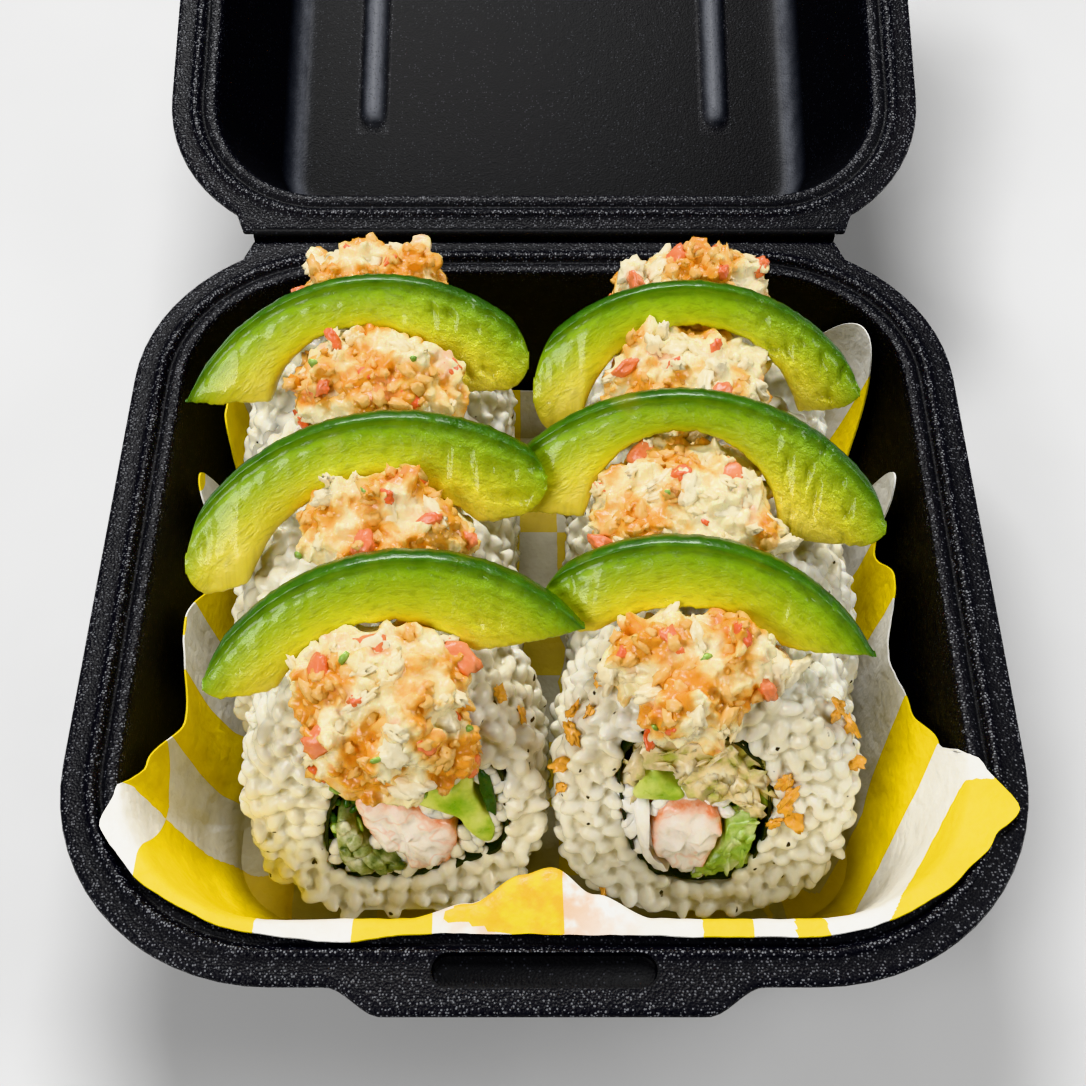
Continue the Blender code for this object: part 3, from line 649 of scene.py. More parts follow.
def make_paper_mesh():
    columns, flat = [], []
    for step in range(PAPER_COLUMNS):
        angle = 360 * step / PAPER_COLUMNS
        column = paper_column(angle)
        out = Vector((cos(radians(angle)), sin(radians(angle))))
        flat.append([check_cell(point) for point in column])
        for i, point in enumerate(column):
            low = min(1, i / 12)
            wrinkle = noise.noise(Vector((point.x * 90, point.y * 90, point.z * 60)))
            crease = noise.noise(Vector((point.x * 260, point.y * 260, 40 + point.z * 90)))
            inward = Vector((-out.x, -out.y, 0.4))
            point += inward * (0.34 * wrinkle + 0.22 * abs(crease) + 0.1) * MM * low
        columns.append(column)
    rings = list(zip(*columns))
    values = {"cell_x": [[p.x for p in ring] for ring in zip(*flat)],
              "cell_y": [[p.y for p in ring] for ring in zip(*flat)]}
    bm = skin(rings, values, caps=(True, False))
    bmesh.ops.recalc_face_normals(bm, faces=bm.faces)
    middle = min(bm.faces, key=lambda f: f.calc_center_median().length)
    if middle.normal.z < 0:
        bmesh.ops.reverse_faces(bm, faces=bm.faces)
    return as_mesh(bm, "paper")


paper_mesh = make_paper_mesh()
print("faces of the sheet:", len(paper_mesh.polygons))


# %% [markdown]
# Greaseproof paper lets some light through, has short fibres in it and takes up a
# little oil where it touches the food. Painted shade darkens the floor of the sheet,
# under and between the rolls.

# %% Paper liner: its finish

SMEAR = (-0.001, -0.062, 0.039)


def paper_look():
    look, tree, shader = new_look("checked_paper", IOR=1.45)
    across = maths(tree, "FLOOR", stored(tree, "cell_x"))
    along = maths(tree, "FLOOR", stored(tree, "cell_y"))
    even = maths(tree, "PINGPONG", maths(tree, "ADD", across, along), 1.0)
    fibre = specks(tree, 1.1 * MM)
    cloud = specks(tree, 9 * MM)
    white = mixed(tree, fibre, (0.80, 0.79, 0.75), (0.93, 0.925, 0.90))
    yellow = mixed(tree, fibre, (0.90, 0.66, 0.0), (1.0, 0.78, 0.0))
    colour = mixed(tree, even, white, yellow)
    dull = ramp(tree, cloud, (0.35, 0.25), (0.6, 0.0))
    colour = mixed(tree, dull, colour, (0.62, 0.58, 0.48), "MULTIPLY")
    place = place_of(tree)
    near = add(tree, "ShaderNodeVectorMath", {0: place, 1: SMEAR}, operation="DISTANCE").outputs["Value"]
    oil = maths(tree, "MULTIPLY_ADD", near, -80, 1.4, clamp=True)
    patches = ramp(tree, specks(tree, 4 * MM), (0.4, 0.0), (0.58, 1.0))
    oil = maths(tree, "MULTIPLY", oil, patches, clamp=True)
    colour = mixed(tree, maths(tree, "MULTIPLY", oil, 0.5), colour, (0.88, 0.38, 0.04))
    # Painted shade: the sheet darkens towards the floor of the tray, under and between the rolls.
    height = add(tree, "ShaderNodeSeparateXYZ", {"Vector": place}).outputs["Z"]
    soaked = maths(tree, "MULTIPLY_ADD", height, -1 / (5 * MM), 1.7, clamp=True)
    colour = mixed(tree, maths(tree, "MULTIPLY", soaked, 0.85), colour, (0.30, 0.26, 0.13), "MULTIPLY")
    fold = maths(tree, "ABSOLUTE", maths(tree, "ADD", specks(tree, 7 * MM, 4), -0.5))
    finish(tree, shader, colour, maths(tree, "MULTIPLY_ADD", oil, -0.35, 0.62),
           (fold, 1.6 * MM, 0.6), (cloud, 1.2 * MM, 0.35), (fibre, 0.1 * MM, 0.3))
    return look


def make_paper():
    obj = put("paper", paper_mesh)
    sheet = obj.modifiers.new("thickness", "SOLIDIFY")
    sheet.thickness = PAPER
    sheet.offset = 1
    mesh = applied(obj, "paper_sheet")
    remove(obj)
    mesh.shade_smooth()
    mesh.set_sharp_from_angle(angle=radians(50))
    return piece("paper_sheet", mesh, paper_look(), ["paper_liner"])


paper = make_paper()
print("paper faces:", len(paper.data.polygons))

# %% [markdown]
# Rice, crumbs and chopped topping all repeat a small shape over a surface. One Geometry
# Nodes tree does this for all of them. It spreads points with a least distance, so that
# grains don't pile up, lays one of a few grains on each, turned and sized by chance from
# a fixed seed, and stores a chance value called tone that the material reads.

# %% Scatter tree

def scatter_tree():
    tree = bpy.data.node_groups.new("scatter", "GeometryNodeTree")
    sockets = tree.interface.new_socket
    sockets("Surface", in_out="INPUT", socket_type="NodeSocketGeometry")
    sockets("Grains", in_out="INPUT", socket_type="NodeSocketCollection")
    for name in ("Spacing", "Smallest", "Largest", "Sunk", "Tilt"):
        sockets(name, in_out="INPUT", socket_type="NodeSocketFloat")
    sockets("Seed", in_out="INPUT", socket_type="NodeSocketInt")
    sockets("Keep surface", in_out="INPUT", socket_type="NodeSocketBool")
    sockets("Finish", in_out="INPUT", socket_type="NodeSocketMaterial")
    sockets("Result", in_out="OUTPUT", socket_type="NodeSocketGeometry")
    given = add(tree, "NodeGroupInput").outputs
    cover = add(tree, "GeometryNodeInputNamedAttribute", {"Name": "cover"}, data_type="FLOAT")
    spread = add(tree, "GeometryNodeDistributePointsOnFaces", {
        "Mesh": given["Surface"], "Distance Min": given["Spacing"], "Density Max": 900000.0,
        "Density Factor": cover.outputs[0], "Seed": given["Seed"]}, distribute_method="POISSON")
    down = add(tree, "ShaderNodeMath", {0: given["Sunk"], 1: -1.0}, operation="MULTIPLY").outputs[0]
    sink = add(tree, "ShaderNodeVectorMath", {0: spread.outputs["Normal"], "Scale": down},
               operation="SCALE").outputs[0]
    points = add(tree, "GeometryNodeSetPosition",
                 {"Geometry": spread.outputs["Points"], "Offset": sink})
    minus = add(tree, "ShaderNodeMath", {0: given["Tilt"], 1: -1.0}, operation="MULTIPLY").outputs[0]
    least = add(tree, "ShaderNodeCombineXYZ", {"X": minus, "Y": minus, "Z": 0.0}).outputs[0]
    most = add(tree, "ShaderNodeCombineXYZ",
               {"X": given["Tilt"], "Y": given["Tilt"], "Z": 2 * pi}).outputs[0]
    turn = add(tree, "FunctionNodeRandomValue", {0: least, 1: most, "Seed": given["Seed"]},
               data_type="FLOAT_VECTOR").outputs[0]
    turned = add(tree, "FunctionNodeRotateRotation", {0: spread.outputs["Rotation"], 1: turn},
                 rotation_space="LOCAL").outputs[0]
    size = add(tree, "FunctionNodeRandomValue", {2: given["Smallest"], 3: given["Largest"],
                                                 "Seed": given["Seed"]}, data_type="FLOAT").outputs[1]
    which = add(tree, "FunctionNodeRandomValue", {4: 0, 5: 50, "Seed": given["Seed"]},
                data_type="INT").outputs[2]
    grains = add(tree, "GeometryNodeCollectionInfo", {
        "Collection": given["Grains"], "Separate Children": True, "Reset Children": True})
    laid = add(tree, "GeometryNodeInstanceOnPoints", {
        "Points": points.outputs[0], "Instance": grains.outputs[0], "Pick Instance": True,
        "Instance Index": which, "Rotation": turned, "Scale": size})
    tone = add(tree, "FunctionNodeRandomValue", {"Seed": given["Seed"]}, data_type="FLOAT").outputs[1]
    marked = add(tree, "GeometryNodeStoreNamedAttribute", {
        "Geometry": laid.outputs[0], "Name": "tone", "Value": tone}, data_type="FLOAT", domain="INSTANCE")
    both = add(tree, "GeometryNodeJoinGeometry")
    tree.links.new(marked.outputs[0], both.inputs[0])
    carrier = add(tree, "GeometryNodeSwitch", {
        "Switch": given["Keep surface"], "True": given["Surface"]}, input_type="GEOMETRY")
    tree.links.new(carrier.outputs[0], both.inputs[0])
    real = add(tree, "GeometryNodeRealizeInstances", {0: both.outputs[0]})
    done = add(tree, "GeometryNodeSetMaterial",
               {"Geometry": real.outputs[0], "Material": given["Finish"]})
    add(tree, "NodeGroupOutput", {0: done.outputs[0]})
    return tree


SCATTER = scatter_tree()
SOCKETS = {item.name: item.identifier
           for item in SCATTER.interface.items_tree if item.in_out == "INPUT"}


def scattered(mesh, grains, finish, spacing, sizes, sunk, tilt, seed, with_surface=False):
    """A mesh of grains laid over the faces of a mesh, thicker where cover is 1."""
    obj = put("carrier", mesh)
    step = obj.modifiers.new("scatter", "NODES")
    step.node_group = SCATTER
    for name, value in (("Grains", grains), ("Spacing", spacing), ("Smallest", sizes[0]),
                        ("Largest", sizes[1]), ("Sunk", sunk), ("Tilt", tilt), ("Seed", seed),
                        ("Keep surface", with_surface), ("Finish", finish)):
        step[SOCKETS[name]] = value
    made = applied(obj, "scattered")
    remove(obj)
    return made


def kit(name, meshes):
    """A hidden set of small shapes that the tree picks from."""
    made = bpy.data.collections.new(name)
    for mesh in meshes:
        made.objects.link(bpy.data.objects.new(mesh.name, mesh))
    return made


def lump(name, size, rough, seed, level, boxy=0.0):
    """A small uneven lump. boxy pushes it from round towards a cut block."""
    bm = bmesh.new()
    bmesh.ops.create_icosphere(bm, subdivisions=level, radius=1)
    for v in bm.verts:
        way = v.co.copy()
        if boxy:
            square = way / max(abs(c) for c in way)
            way = way.lerp(square, boxy)
        shift = Vector((seed * 7.3, seed * 3.1, seed * 5.7))
        coarse, fine = noise.noise(v.co * 1.6 + shift), noise.noise(v.co * 3.7 + shift)
        way *= 1 + rough * coarse + rough * 0.5 * fine
        v.co = Vector((way.x * size[0], way.y * size[1], way.z * size[2])) * MM
    return to_mesh(bm, name)


def lump_kit(name, rough, seed, level, boxy, *sizes):
    return kit(name, [lump(f"{name}_{k}", size, rough, seed + k, level, boxy)
                      for k, size in enumerate(sizes)])


print("scatter inputs:", sorted(SOCKETS))

# %% [markdown]
# Wet food sticks together. A voxel remesh melts separate bits into one skin, so light
# can wander through them as it does in rice or sauce, and no faces are left inside.
# Closed bubbles that the remesh leaves within are taken out again.

# %% Melting bits together

def remeshed(mesh, voxel, smooth):
    obj = put("mass", mesh)
    step = obj.modifiers.new("melt", "REMESH")
    step.mode = "VOXEL"
    step.voxel_size = voxel
    if smooth:
        step = obj.modifiers.new("smooth", "SMOOTH")
        step.iterations = smooth
    made = applied(obj, "mass")
    remove(obj)
    bm = bmesh.new()
    bm.from_mesh(made)
    start = max(bm.verts, key=lambda v: v.co.z)
    seen, edge = {start}, [start]
    while edge:
        vert = edge.pop()
        for link in vert.link_edges:
            other = link.other_vert(vert)
            if other not in seen:
                seen.add(other)
                edge.append(other)
    bubbles = [v for v in bm.verts if v not in seen]
    bmesh.ops.delete(bm, geom=bubbles, context="VERTS")
    bm.to_mesh(made)
    bm.free()
    return made


def hollows(mesh, rounds):
    """From 0 on a crest to 1 in a hollow: how far each point lies under a smoothed copy."""
    count = len(mesh.vertices)
    places, normals = np.empty(count * 3), np.empty(count * 3)
    mesh.vertices.foreach_get("co", places)
    mesh.vertices.foreach_get("normal", normals)
    ends = np.empty(len(mesh.edges) * 2, dtype=int)
    mesh.edges.foreach_get("vertices", ends)
    a, b = ends.reshape(-1, 2).T
    links = np.bincount(ends, minlength=count)
    places = places.reshape(-1, 3)
    smooth = places
    for _ in range(rounds):
        sums = [np.bincount(a, smooth[b, axis], count) + np.bincount(b, smooth[a, axis], count)
                for axis in range(3)]
        smooth = np.stack(sums, axis=1) / links[:, None]
    depth = ((smooth - places) * normals.reshape(-1, 3)).sum(axis=1)
    return np.clip(0.5 + 0.25 * depth / depth.std(), 0, 1)


# %% [markdown]
# Cooked sushi rice is short and plump, about 4.5 by 2.5 mm, with a soft bend. It is
# nearly white, lets light in, and has a wet gloss. The hollows between the grains get
# painted shade, darker and more yellow, and a few black flecks of seasoning stick to it.

# %% Rice finish and grains

def rice_look():
    look, tree, shader = new_look("sushi_rice", IOR=1.4, Subsurface_Weight=0.5,
                                  Subsurface_Radius=(1.0, 0.82, 0.5), Subsurface_Scale=0.0014)
    long = add(tree, "ShaderNodeMapping", {"Vector": place_of(tree), "Rotation": (0.5, 0.4, 0.7),
                                           "Scale": (1.0, 0.45, 1.1)}).outputs[0]
    wave = add(tree, "ShaderNodeTexNoise", {"Vector": place_of(tree), "Scale": 1 / (1.1 * MM)})
    bent = add(tree, "ShaderNodeVectorMath", {0: wave.outputs["Color"], 1: (0.9 * MM,) * 3, 2: long},
               operation="MULTIPLY_ADD").outputs[0]
    cell = add(tree, "ShaderNodeTexVoronoi", {"Vector": bent, "Scale": 1 / (2.5 * MM)}).outputs
    colour = mixed(tree, cell["Color"], (0.85, 0.84, 0.765), (0.79, 0.75, 0.61))
    warm = ramp(tree, specks(tree, 11 * MM), (0.46, 0.0), (0.70, 0.5))
    colour = mixed(tree, warm, colour, (0.84, 0.74, 0.46))
    # Painted shade: the deeper a point lies in a hollow, the darker and more yellow it is.
    hollow = ramp(tree, stored(tree, "hollow"), (0.52, 0.0), (0.75, 0.35), (0.97, 0.75))
    colour = mixed(tree, hollow, colour, (0.56, 0.49, 0.29))
    fleck = ramp(tree, cell["Distance"], (0.11, 1.0), (0.16, 0.0))
    some = ramp(tree, cell["Color"], (0.54, 0.0), (0.56, 1.0))
    fleck = maths(tree, "MULTIPLY", fleck, some)
    colour = mixed(tree, fleck, colour, (0.035, 0.022, 0.012))
    finish(tree, shader, colour, uneven(tree, 1.5 * MM, 0.12, 0.30),
           (specks(tree, 0.9 * MM), 0.16 * MM, 0.4))
    return look


RICE_LOOK = rice_look()


def rice_grain(name, length, width, bend, seed, segments, rings):
    bm = bmesh.new()
    bmesh.ops.create_uvsphere(bm, u_segments=segments, v_segments=rings, radius=1,
                              matrix=Matrix.Rotation(radians(90), 4, "Y"))
    for v in bm.verts:
        p = v.co.copy()
        full = 1 - 0.12 * p.x * p.x + 0.07 * noise.noise(p * 1.7 + Vector((seed * 9.1, 0, 0)))
        p.y *= full
        p.z *= full * 0.92
        arch = bend * (p.x * p.x - 0.4)
        v.co = Vector((p.x * length / 2, p.y * width / 2 + arch, p.z * width / 2)) * MM
    return to_mesh(bm, name)


# Length, width, bend and number of each grain
GRAINS = [(5.0, 2.9, 0.4, 1), (4.5, 3.1, -0.25, 2), (5.4, 2.8, 0.6, 3), (4.0, 3.2, 0.1, 4)]
FINE_GRAINS = kit("fine_grains", [rice_grain(f"grain_{row[3]}", *row, 10, 7) for row in GRAINS])
PLAIN_GRAINS = kit("plain_grains", [rice_grain(f"plain_{row[3]}", *row, 8, 5) for row in GRAINS])

# %% [markdown]
# Each roll is cut in four, and each piece leans back a little. Its place is given in the
# plane of its cut face: across, up and depth. The nori's outline, in millimetres from the
# roll's middle, is the edge of the hole that the filling lies in.

# %% Sizes of the rolls

ROLL_RADIUS = 25 * MM
FACE_TILT = radians(20)
ROLL_AXIS_Z = 27 * MM
ROW_FRONT_Y = -43.7 * MM
PIECE_PITCH = 22.2 * MM
PIECE_LENGTH = PIECE_PITCH - 0.3 * MM
REST_FLAT = 24.5 * MM
FACE_ROUNDING = 2.4 * MM
SETTLED = 0.6
FOOT = 4.2 * MM  # how far the rice at the foot of a cut face has slid forward
GRAIN_SKIN = 1.6 * MM  # from the middle of the outer grains to the roll's outside
ROW_X = {"left": (-24.3, -28.6, -29.8, -30.4), "right": (26.3, 28.8, 28.8, 28.0)}
NORI_OUTLINE = {
    "left": ((-7, 5.5), (-10.5, -1), (-11.3, -9), (-9.4, -15), (-3, -15.2), (4, -14.8), (11, -12.3),
             (17, -8.5), (18.3, -1), (17.5, 7), (13.5, 10.8), (6, 9), (-1, 7.2)),
    "right": ((-14.4, 8), (-12.6, 14), (-6, 17), (2, 15), (8, 9.5), (10, 1), (9.3, -8),
              (6, -14.6), (-2, -16), (-9.3, -13.5), (-12.5, -6), (-13.8, 2)),
}
NORI_MIDDLE = {"left": (2, -2.5), "right": (-2, 0.5)}
RICE_SPACING, RICE_SIZES, RICE_OUT, RICE_TILT = 2.5 * MM, (0.8, 1.1), 0.25 * MM, 0.9
print("length of a row, in mm:", round(4 * PIECE_PITCH / MM))

# %% [markdown]
# Three helpers come next. A smooth curve goes through a few points of an outline, the
# nori's outline is read at equal angles, so that it can be joined to the roll's round
# outside, and a point in the plane of a cut face gets its place in the box.

# %% Outlines on a cut face

def smooth_loop(points, count):
    """count points on a closed smooth curve through points in millimetres."""
    size = len(points)
    made = []
    for k in range(count):
        place = k * size / count
        i, t = int(place), place % 1
        p0, p1, p2, p3 = (Vector(points[(i + d) % size]) for d in (-1, 0, 1, 2))
        curve = 2 * p1 + (p2 - p0) * t + (2 * p0 - 5 * p1 + 4 * p2 - p3) * t**2
        made.append((curve + (3 * p1 - p0 - 3 * p2 + p3) * t**3) * 0.5 * MM)
    return made


def by_angle(side, count, grow):
    """The nori's outline read at equal angles about its middle, moved out by grow."""
    centre = Vector(NORI_MIDDLE[side]) * MM
    fine = smooth_loop(NORI_OUTLINE[side], 360)
    made = []
    for k in range(count):
        ray = Vector((cos(2 * pi * k / count), sin(2 * pi * k / count)))
        best = max(fine, key=lambda p: (p - centre).normalized().dot(ray))
        made.append(centre + ray * ((best - centre).length + grow))
    return made


def on_face(across, up, depth, side, number):
    """A point of a piece of roll, from its place in the plane of the piece's cut face."""
    y = ROW_FRONT_Y + number * PIECE_PITCH + depth + up * sin(FACE_TILT)
    return Vector((ROW_X[side][number] * MM + across, y, ROLL_AXIS_Z + up * cos(FACE_TILT)))


print("middle of the front left face:", on_face(0, 0, 0, "left", 0))

# %% [markdown]
# The core of a piece is a tube with soft edges. Grains of rice are laid on it, thick
# wherever the cover is 1, and melted into one skin. The piece has settled, so its lower
# half is squarer, and the rice at its foot has slid forward a little.

# %% Rolls of rice

def roll_core(side, number):
    """The body of a piece inside its outer grains, with the cover value for the grains."""
    open_front, open_back = number == 0, number == 3  # the two between touch each other
    hollow = open_front or open_back
    count = 72
    radius = ROLL_RADIUS - GRAIN_SKIN
    outer = []
    for k in range(count):
        x, y = cos(2 * pi * k / count), sin(2 * pi * k / count)
        if y < 0:  # the piece has settled, so its lower half is squarer than a circle
            x, y = (abs(x) ** SETTLED) * (1 if x > 0 else -1), -abs(y) ** SETTLED
        outer.append(Vector((radius * x, max(radius * y, GRAIN_SKIN - REST_FLAT))))
    inner = by_angle(side, count, 0.7 * MM)
    near = GRAIN_SKIN
    far = PIECE_LENGTH - GRAIN_SKIN
    soft = FACE_ROUNDING
    # Share of the way from the hole to the outside, step in from the side, and depth
    front = [(k / 6, soft, near) for k in range(7)] + [(1, 0.35 * soft, near + 0.35 * soft)]
    middle = [(1, 0, near + soft + (far - near - 2 * soft) * k / 5) for k in range(6)]
    back = [(share, step, far + near - depth) for share, step, depth in front[::-1]]
    loops, cover = [], []
    for row, (share, step, depth) in enumerate(front + middle + back):
        at_front = row < len(front) - 2
        at_back = row > len(front) + len(middle) + 1
        hidden = (at_front and not open_front) or (at_back and not open_back)
        loop, shown = [], []
        for start, end in zip(inner, outer):
            edge = end * (1 - step / radius)
            begin = start if hollow else edge * 0.1
            point = begin + (edge - begin) * share
            sag = min(1, max(0, (-13 * MM - point.y) / (8 * MM)))
            forward = FOOT * sag * sag * (3 - 2 * sag) if at_front and open_front else 0
            corner = on_face(point.x, point.y, depth - forward, side, number)
            corner.z = max(corner.z, 4.4 * MM)
            loop.append(corner)
            shown.append(0.0 if hidden or corner.z < 6 * MM else 1.0)
        loops.append(loop)
        cover.append(shown)
    if hollow:
        loops.append(loops[0])
        cover.append([0.0] * count)
        return skin(loops, {"cover": cover}, caps=(False, False))
    return skin(loops, {"cover": cover})


def make_roll(side, number):
    name = f"rice_{side}_{number + 1}"
    grains, voxel = (FINE_GRAINS, 0.4 * MM) if number == 0 else (PLAIN_GRAINS, 0.55 * MM)
    seed = 10 * number + (1 if side == "left" else 2)
    mesh = scattered(to_mesh(roll_core(side, number), name), grains, RICE_LOOK, RICE_SPACING,
                     RICE_SIZES, -RICE_OUT, RICE_TILT, seed, with_surface=True)
    mesh = remeshed(mesh, voxel, 0)
    # The depth in the hollows, which the rice finish turns into painted shade.
    keep(mesh, "hollow", hollows(mesh, 8))
    mesh.shade_smooth()
    return piece(f"{name}_grains", mesh, RICE_LOOK, [name])


rolls = [make_roll(side, number) for side in ROW_X for number in range(4)]
print("rice faces:", sum(len(roll.data.polygons) for roll in rolls))

# %% [markdown]
# The nori is a sheet of dried seaweed between rice and filling. It is nearly black, with
# a green cast and a fine crackle, and its cut edge waves a little out of the face.

# %% Nori

NORI = 0.5 * MM


def nori_look():
    look, tree, shader = new_look("nori", IOR=1.45)
    crackle = specks(tree, 1.2 * MM, 6, rough=0.7)
    colour = ramp(tree, crackle, (0.3, (0.003, 0.007, 0.004)), (0.75, (0.016, 0.030, 0.010)))
    finish(tree, shader, colour, 0.38, (crackle, 0.35 * MM, 0.8))
    return look


NORI_LOOK = nori_look()


def make_nori(side, number):
    outer, inner = by_angle(side, 120, 0.25 * MM), by_angle(side, 120, 0.25 * MM - NORI)
    loops = []
    for outline, row in ((outer, range(13)), (inner, range(12, -1, -1))):
        for k in row:
            loop = []
            for p in outline:
                wave = noise.noise(Vector((p.x * 400, p.y * 400, number))) * 0.5 * MM
                near = 0.7 * MM + 1.4 * wave
                depth = near + (PIECE_LENGTH - 0.6 * MM - near) * k / 12
                ripple = 1 + 0.012 * noise.noise(Vector((p.x * 300, p.y * 300, k * 0.9)))
                loop.append(on_face(p.x * ripple, p.y * ripple, depth, side, number))
            loops.append(loop)
    loops.append(loops[0])
    name = f"nori_{side}_{number + 1}"
    mesh = to_mesh(skin(loops, caps=(False, False)), name, 50)
    return piece(f"{name}_sheet", mesh, NORI_LOOK, [name])


sheets = [make_nori(side, number) for side in ROW_X for number in (0, 3)]
print("nori sheets:", len(sheets))

# %% [markdown]
# A cooked prawn and strips of avocado and cucumber are rolled in. The right roll also has
# cream cheese and fried flakes, and the left one dark greens and a darker, pickled
# cucumber. All but the prawn share one finish with their own colours.

# %% Finishes of the fillings

def prawn_look():
    look, tree, shader = new_look("prawn", IOR=1.4, Coat_Weight=0.5, Coat_Roughness=0.12,
                                  Subsurface_Weight=0.25, Subsurface_Radius=(1.0, 0.5, 0.35),
                                  Subsurface_Scale=0.002)
    edge = maths(tree, "ADD", stored(tree, "edge"), -0.30)
    drift = maths(tree, "MULTIPLY_ADD", specks(tree, 2.4 * MM, 4), 0.6, edge)
    colour = ramp(tree, drift, (0.40, (0.90, 0.84, 0.79)), (0.74, (0.88, 0.71, 0.63)),
                  (0.93, (0.86, 0.48, 0.33)), (1.0, (0.82, 0.27, 0.12)))
    curls = maths(tree, "ABSOLUTE", maths(tree, "ADD", specks(tree, 7 * MM, 2), -0.5))
    colour = mixed(tree, ramp(tree, curls, (0.0, 0.45), (0.025, 0.0)), colour, (0.86, 0.42, 0.27))
    finish(tree, shader, colour, uneven(tree, 1 * MM, 0.2, 0.42),
           (specks(tree, 2.2 * MM, 2), 0.5 * MM, 0.5), (specks(tree, 0.5 * MM), 0.1 * MM, 0.4))
    return look


def soft_look(name, size, *colours):
    """A moist filling: two or three colours in patches, over a fine uneven skin."""
    look, tree, shader = new_look(name, IOR=1.42, Coat_Weight=0.35, Coat_Roughness=0.15,
                                  Subsurface_Weight=0.2, Subsurface_Radius=(1.0, 0.8, 0.3),
                                  Subsurface_Scale=0.0015)
    places = [0.3 + 0.4 * k / (len(colours) - 1) for k in range(len(colours))]
    finish(tree, shader, ramp(tree, specks(tree, size, 4), *zip(places, colours)),
           uneven(tree, size / 2, 0.25, 0.45),
           (specks(tree, size / 2), 0.3 * MM, 0.5), (specks(tree, size / 6), 0.1 * MM, 0.3))
    return look


FILLING_LOOKS = {
    "prawn": prawn_look(),
    "avocado": soft_look("avocado_strip", 5 * MM,
                         (0.22, 0.42, 0.03), (0.56, 0.66, 0.14), (0.72, 0.76, 0.30)),
    "cucumber": soft_look("cucumber", 3.5 * MM,
                          (0.10, 0.24, 0.02), (0.38, 0.55, 0.12), (0.70, 0.76, 0.42)),
    "greens": soft_look("greens", 2 * MM, (0.008, 0.03, 0.006), (0.03, 0.11, 0.02)),
    "left_cucumber": soft_look("pickled_cucumber", 2.6 * MM,
                               (0.02, 0.06, 0.01), (0.30, 0.36, 0.14), (0.66, 0.66, 0.48)),
    "cream": soft_look("cream_cheese", 3 * MM, (0.92, 0.89, 0.80), (0.95, 0.94, 0.90)),
    "flakes": soft_look("fried_flakes", 3.4 * MM,
                        (0.48, 0.50, 0.10), (0.84, 0.66, 0.36), (0.93, 0.86, 0.62)),
}

# %% [markdown]
# Each filling runs through its piece as a strip, along an outline in the plane of the cut
# face. Its end is a low dome that noise makes uneven, each kind in its own way. The
# value edge says how close a point is to the outline: the prawn's red skin lies there.

# %% Fillings

FILLINGS = {
    "left": {
        "avocado": ((2, 3.3), (5, 5), (9.3, 5.2), (11.8, 8.4), (13, 7), (13.2, 3.6), (16.2, -2.6),
                    (15.9, -6), (14.6, -6.6), (11.8, -3.7), (10.1, -0.9), (4, 1.9)),
        "prawn": ((-5.6, 3.5), (0.6, 2.2), (3.2, 0.4), (9, -2.9), (10.2, -6.2), (8.7, -10.9),
                  (5.8, -12.3), (2.9, -11.7), (1.2, -9.6), (-2.8, -6.7), (-4.8, -3), (-5.6, 0)),
        "cucumber": ((-9.1, -1.8), (-6.7, -3), (-5.7, -6.2), (-3.3, -8.9), (0.2, -11.2),
                     (0.6, -13.2), (-3.5, -13.6), (-7.8, -13.5), (-9.5, -9)),
        "greens": ((13.9, 8.6), (15.9, 6.4), (16.6, 1), (16.2, -0.9), (14.3, 3.4)),
    },
    "right": {
        "avocado": ((-12, 3.7), (-11.4, 6.4), (-9.2, 9.6), (-7.1, 7.8), (-4.1, 4.6), (-4.4, 3),
                    (-8, 2.9)),
        "prawn": ((-8.8, -2.6), (-6.9, 0.7), (-3.5, 1.5), (0.2, 0.8), (2.3, -1.9), (2.4, -6),
                  (0.9, -9.8), (-1.6, -12.3), (-4.9, -12.2), (-7.6, -9.2), (-8.9, -6)),
        "cream": ((-11.8, 1.6), (-9.4, 1.2), (-10.1, -2.6), (-9.9, -6.4), (-7.9, -10.3),
                  (-5.4, -13), (-7.6, -12.6), (-10, -9.5), (-11.2, -5)),
        "cucumber": ((3.6, -3.1), (7.8, -1.3), (7.8, -6), (6.4, -11.2), (3.6, -13.4), (-0.5, -14.2),
                     (-1.1, -12.8), (1.3, -9.9), (3, -6.6)),
        "flakes": ((-12, 10.6), (-10.4, 13.4), (-6, 15.1), (0.5, 13.9), (5.6, 9.3), (8, 3.5),
                   (7.9, 0.2), (3, 2.4), (-2.4, 4), (-4.9, 8), (-8.6, 11.2)),
    },
}
# How far each end stands out of the face, and how uneven it is, in millimetres
DOMES = {"prawn": (1.5, 1.3), "avocado": (0.7, 0.25), "cucumber": (0.3, 0.9), "cream": (1.6, 0.9),
         "flakes": (0.3, 1.0), "greens": (0.4, 0.9)}


def look_of(side, kind):
    return FILLING_LOOKS.get(f"{side}_{kind}", FILLING_LOOKS[kind])


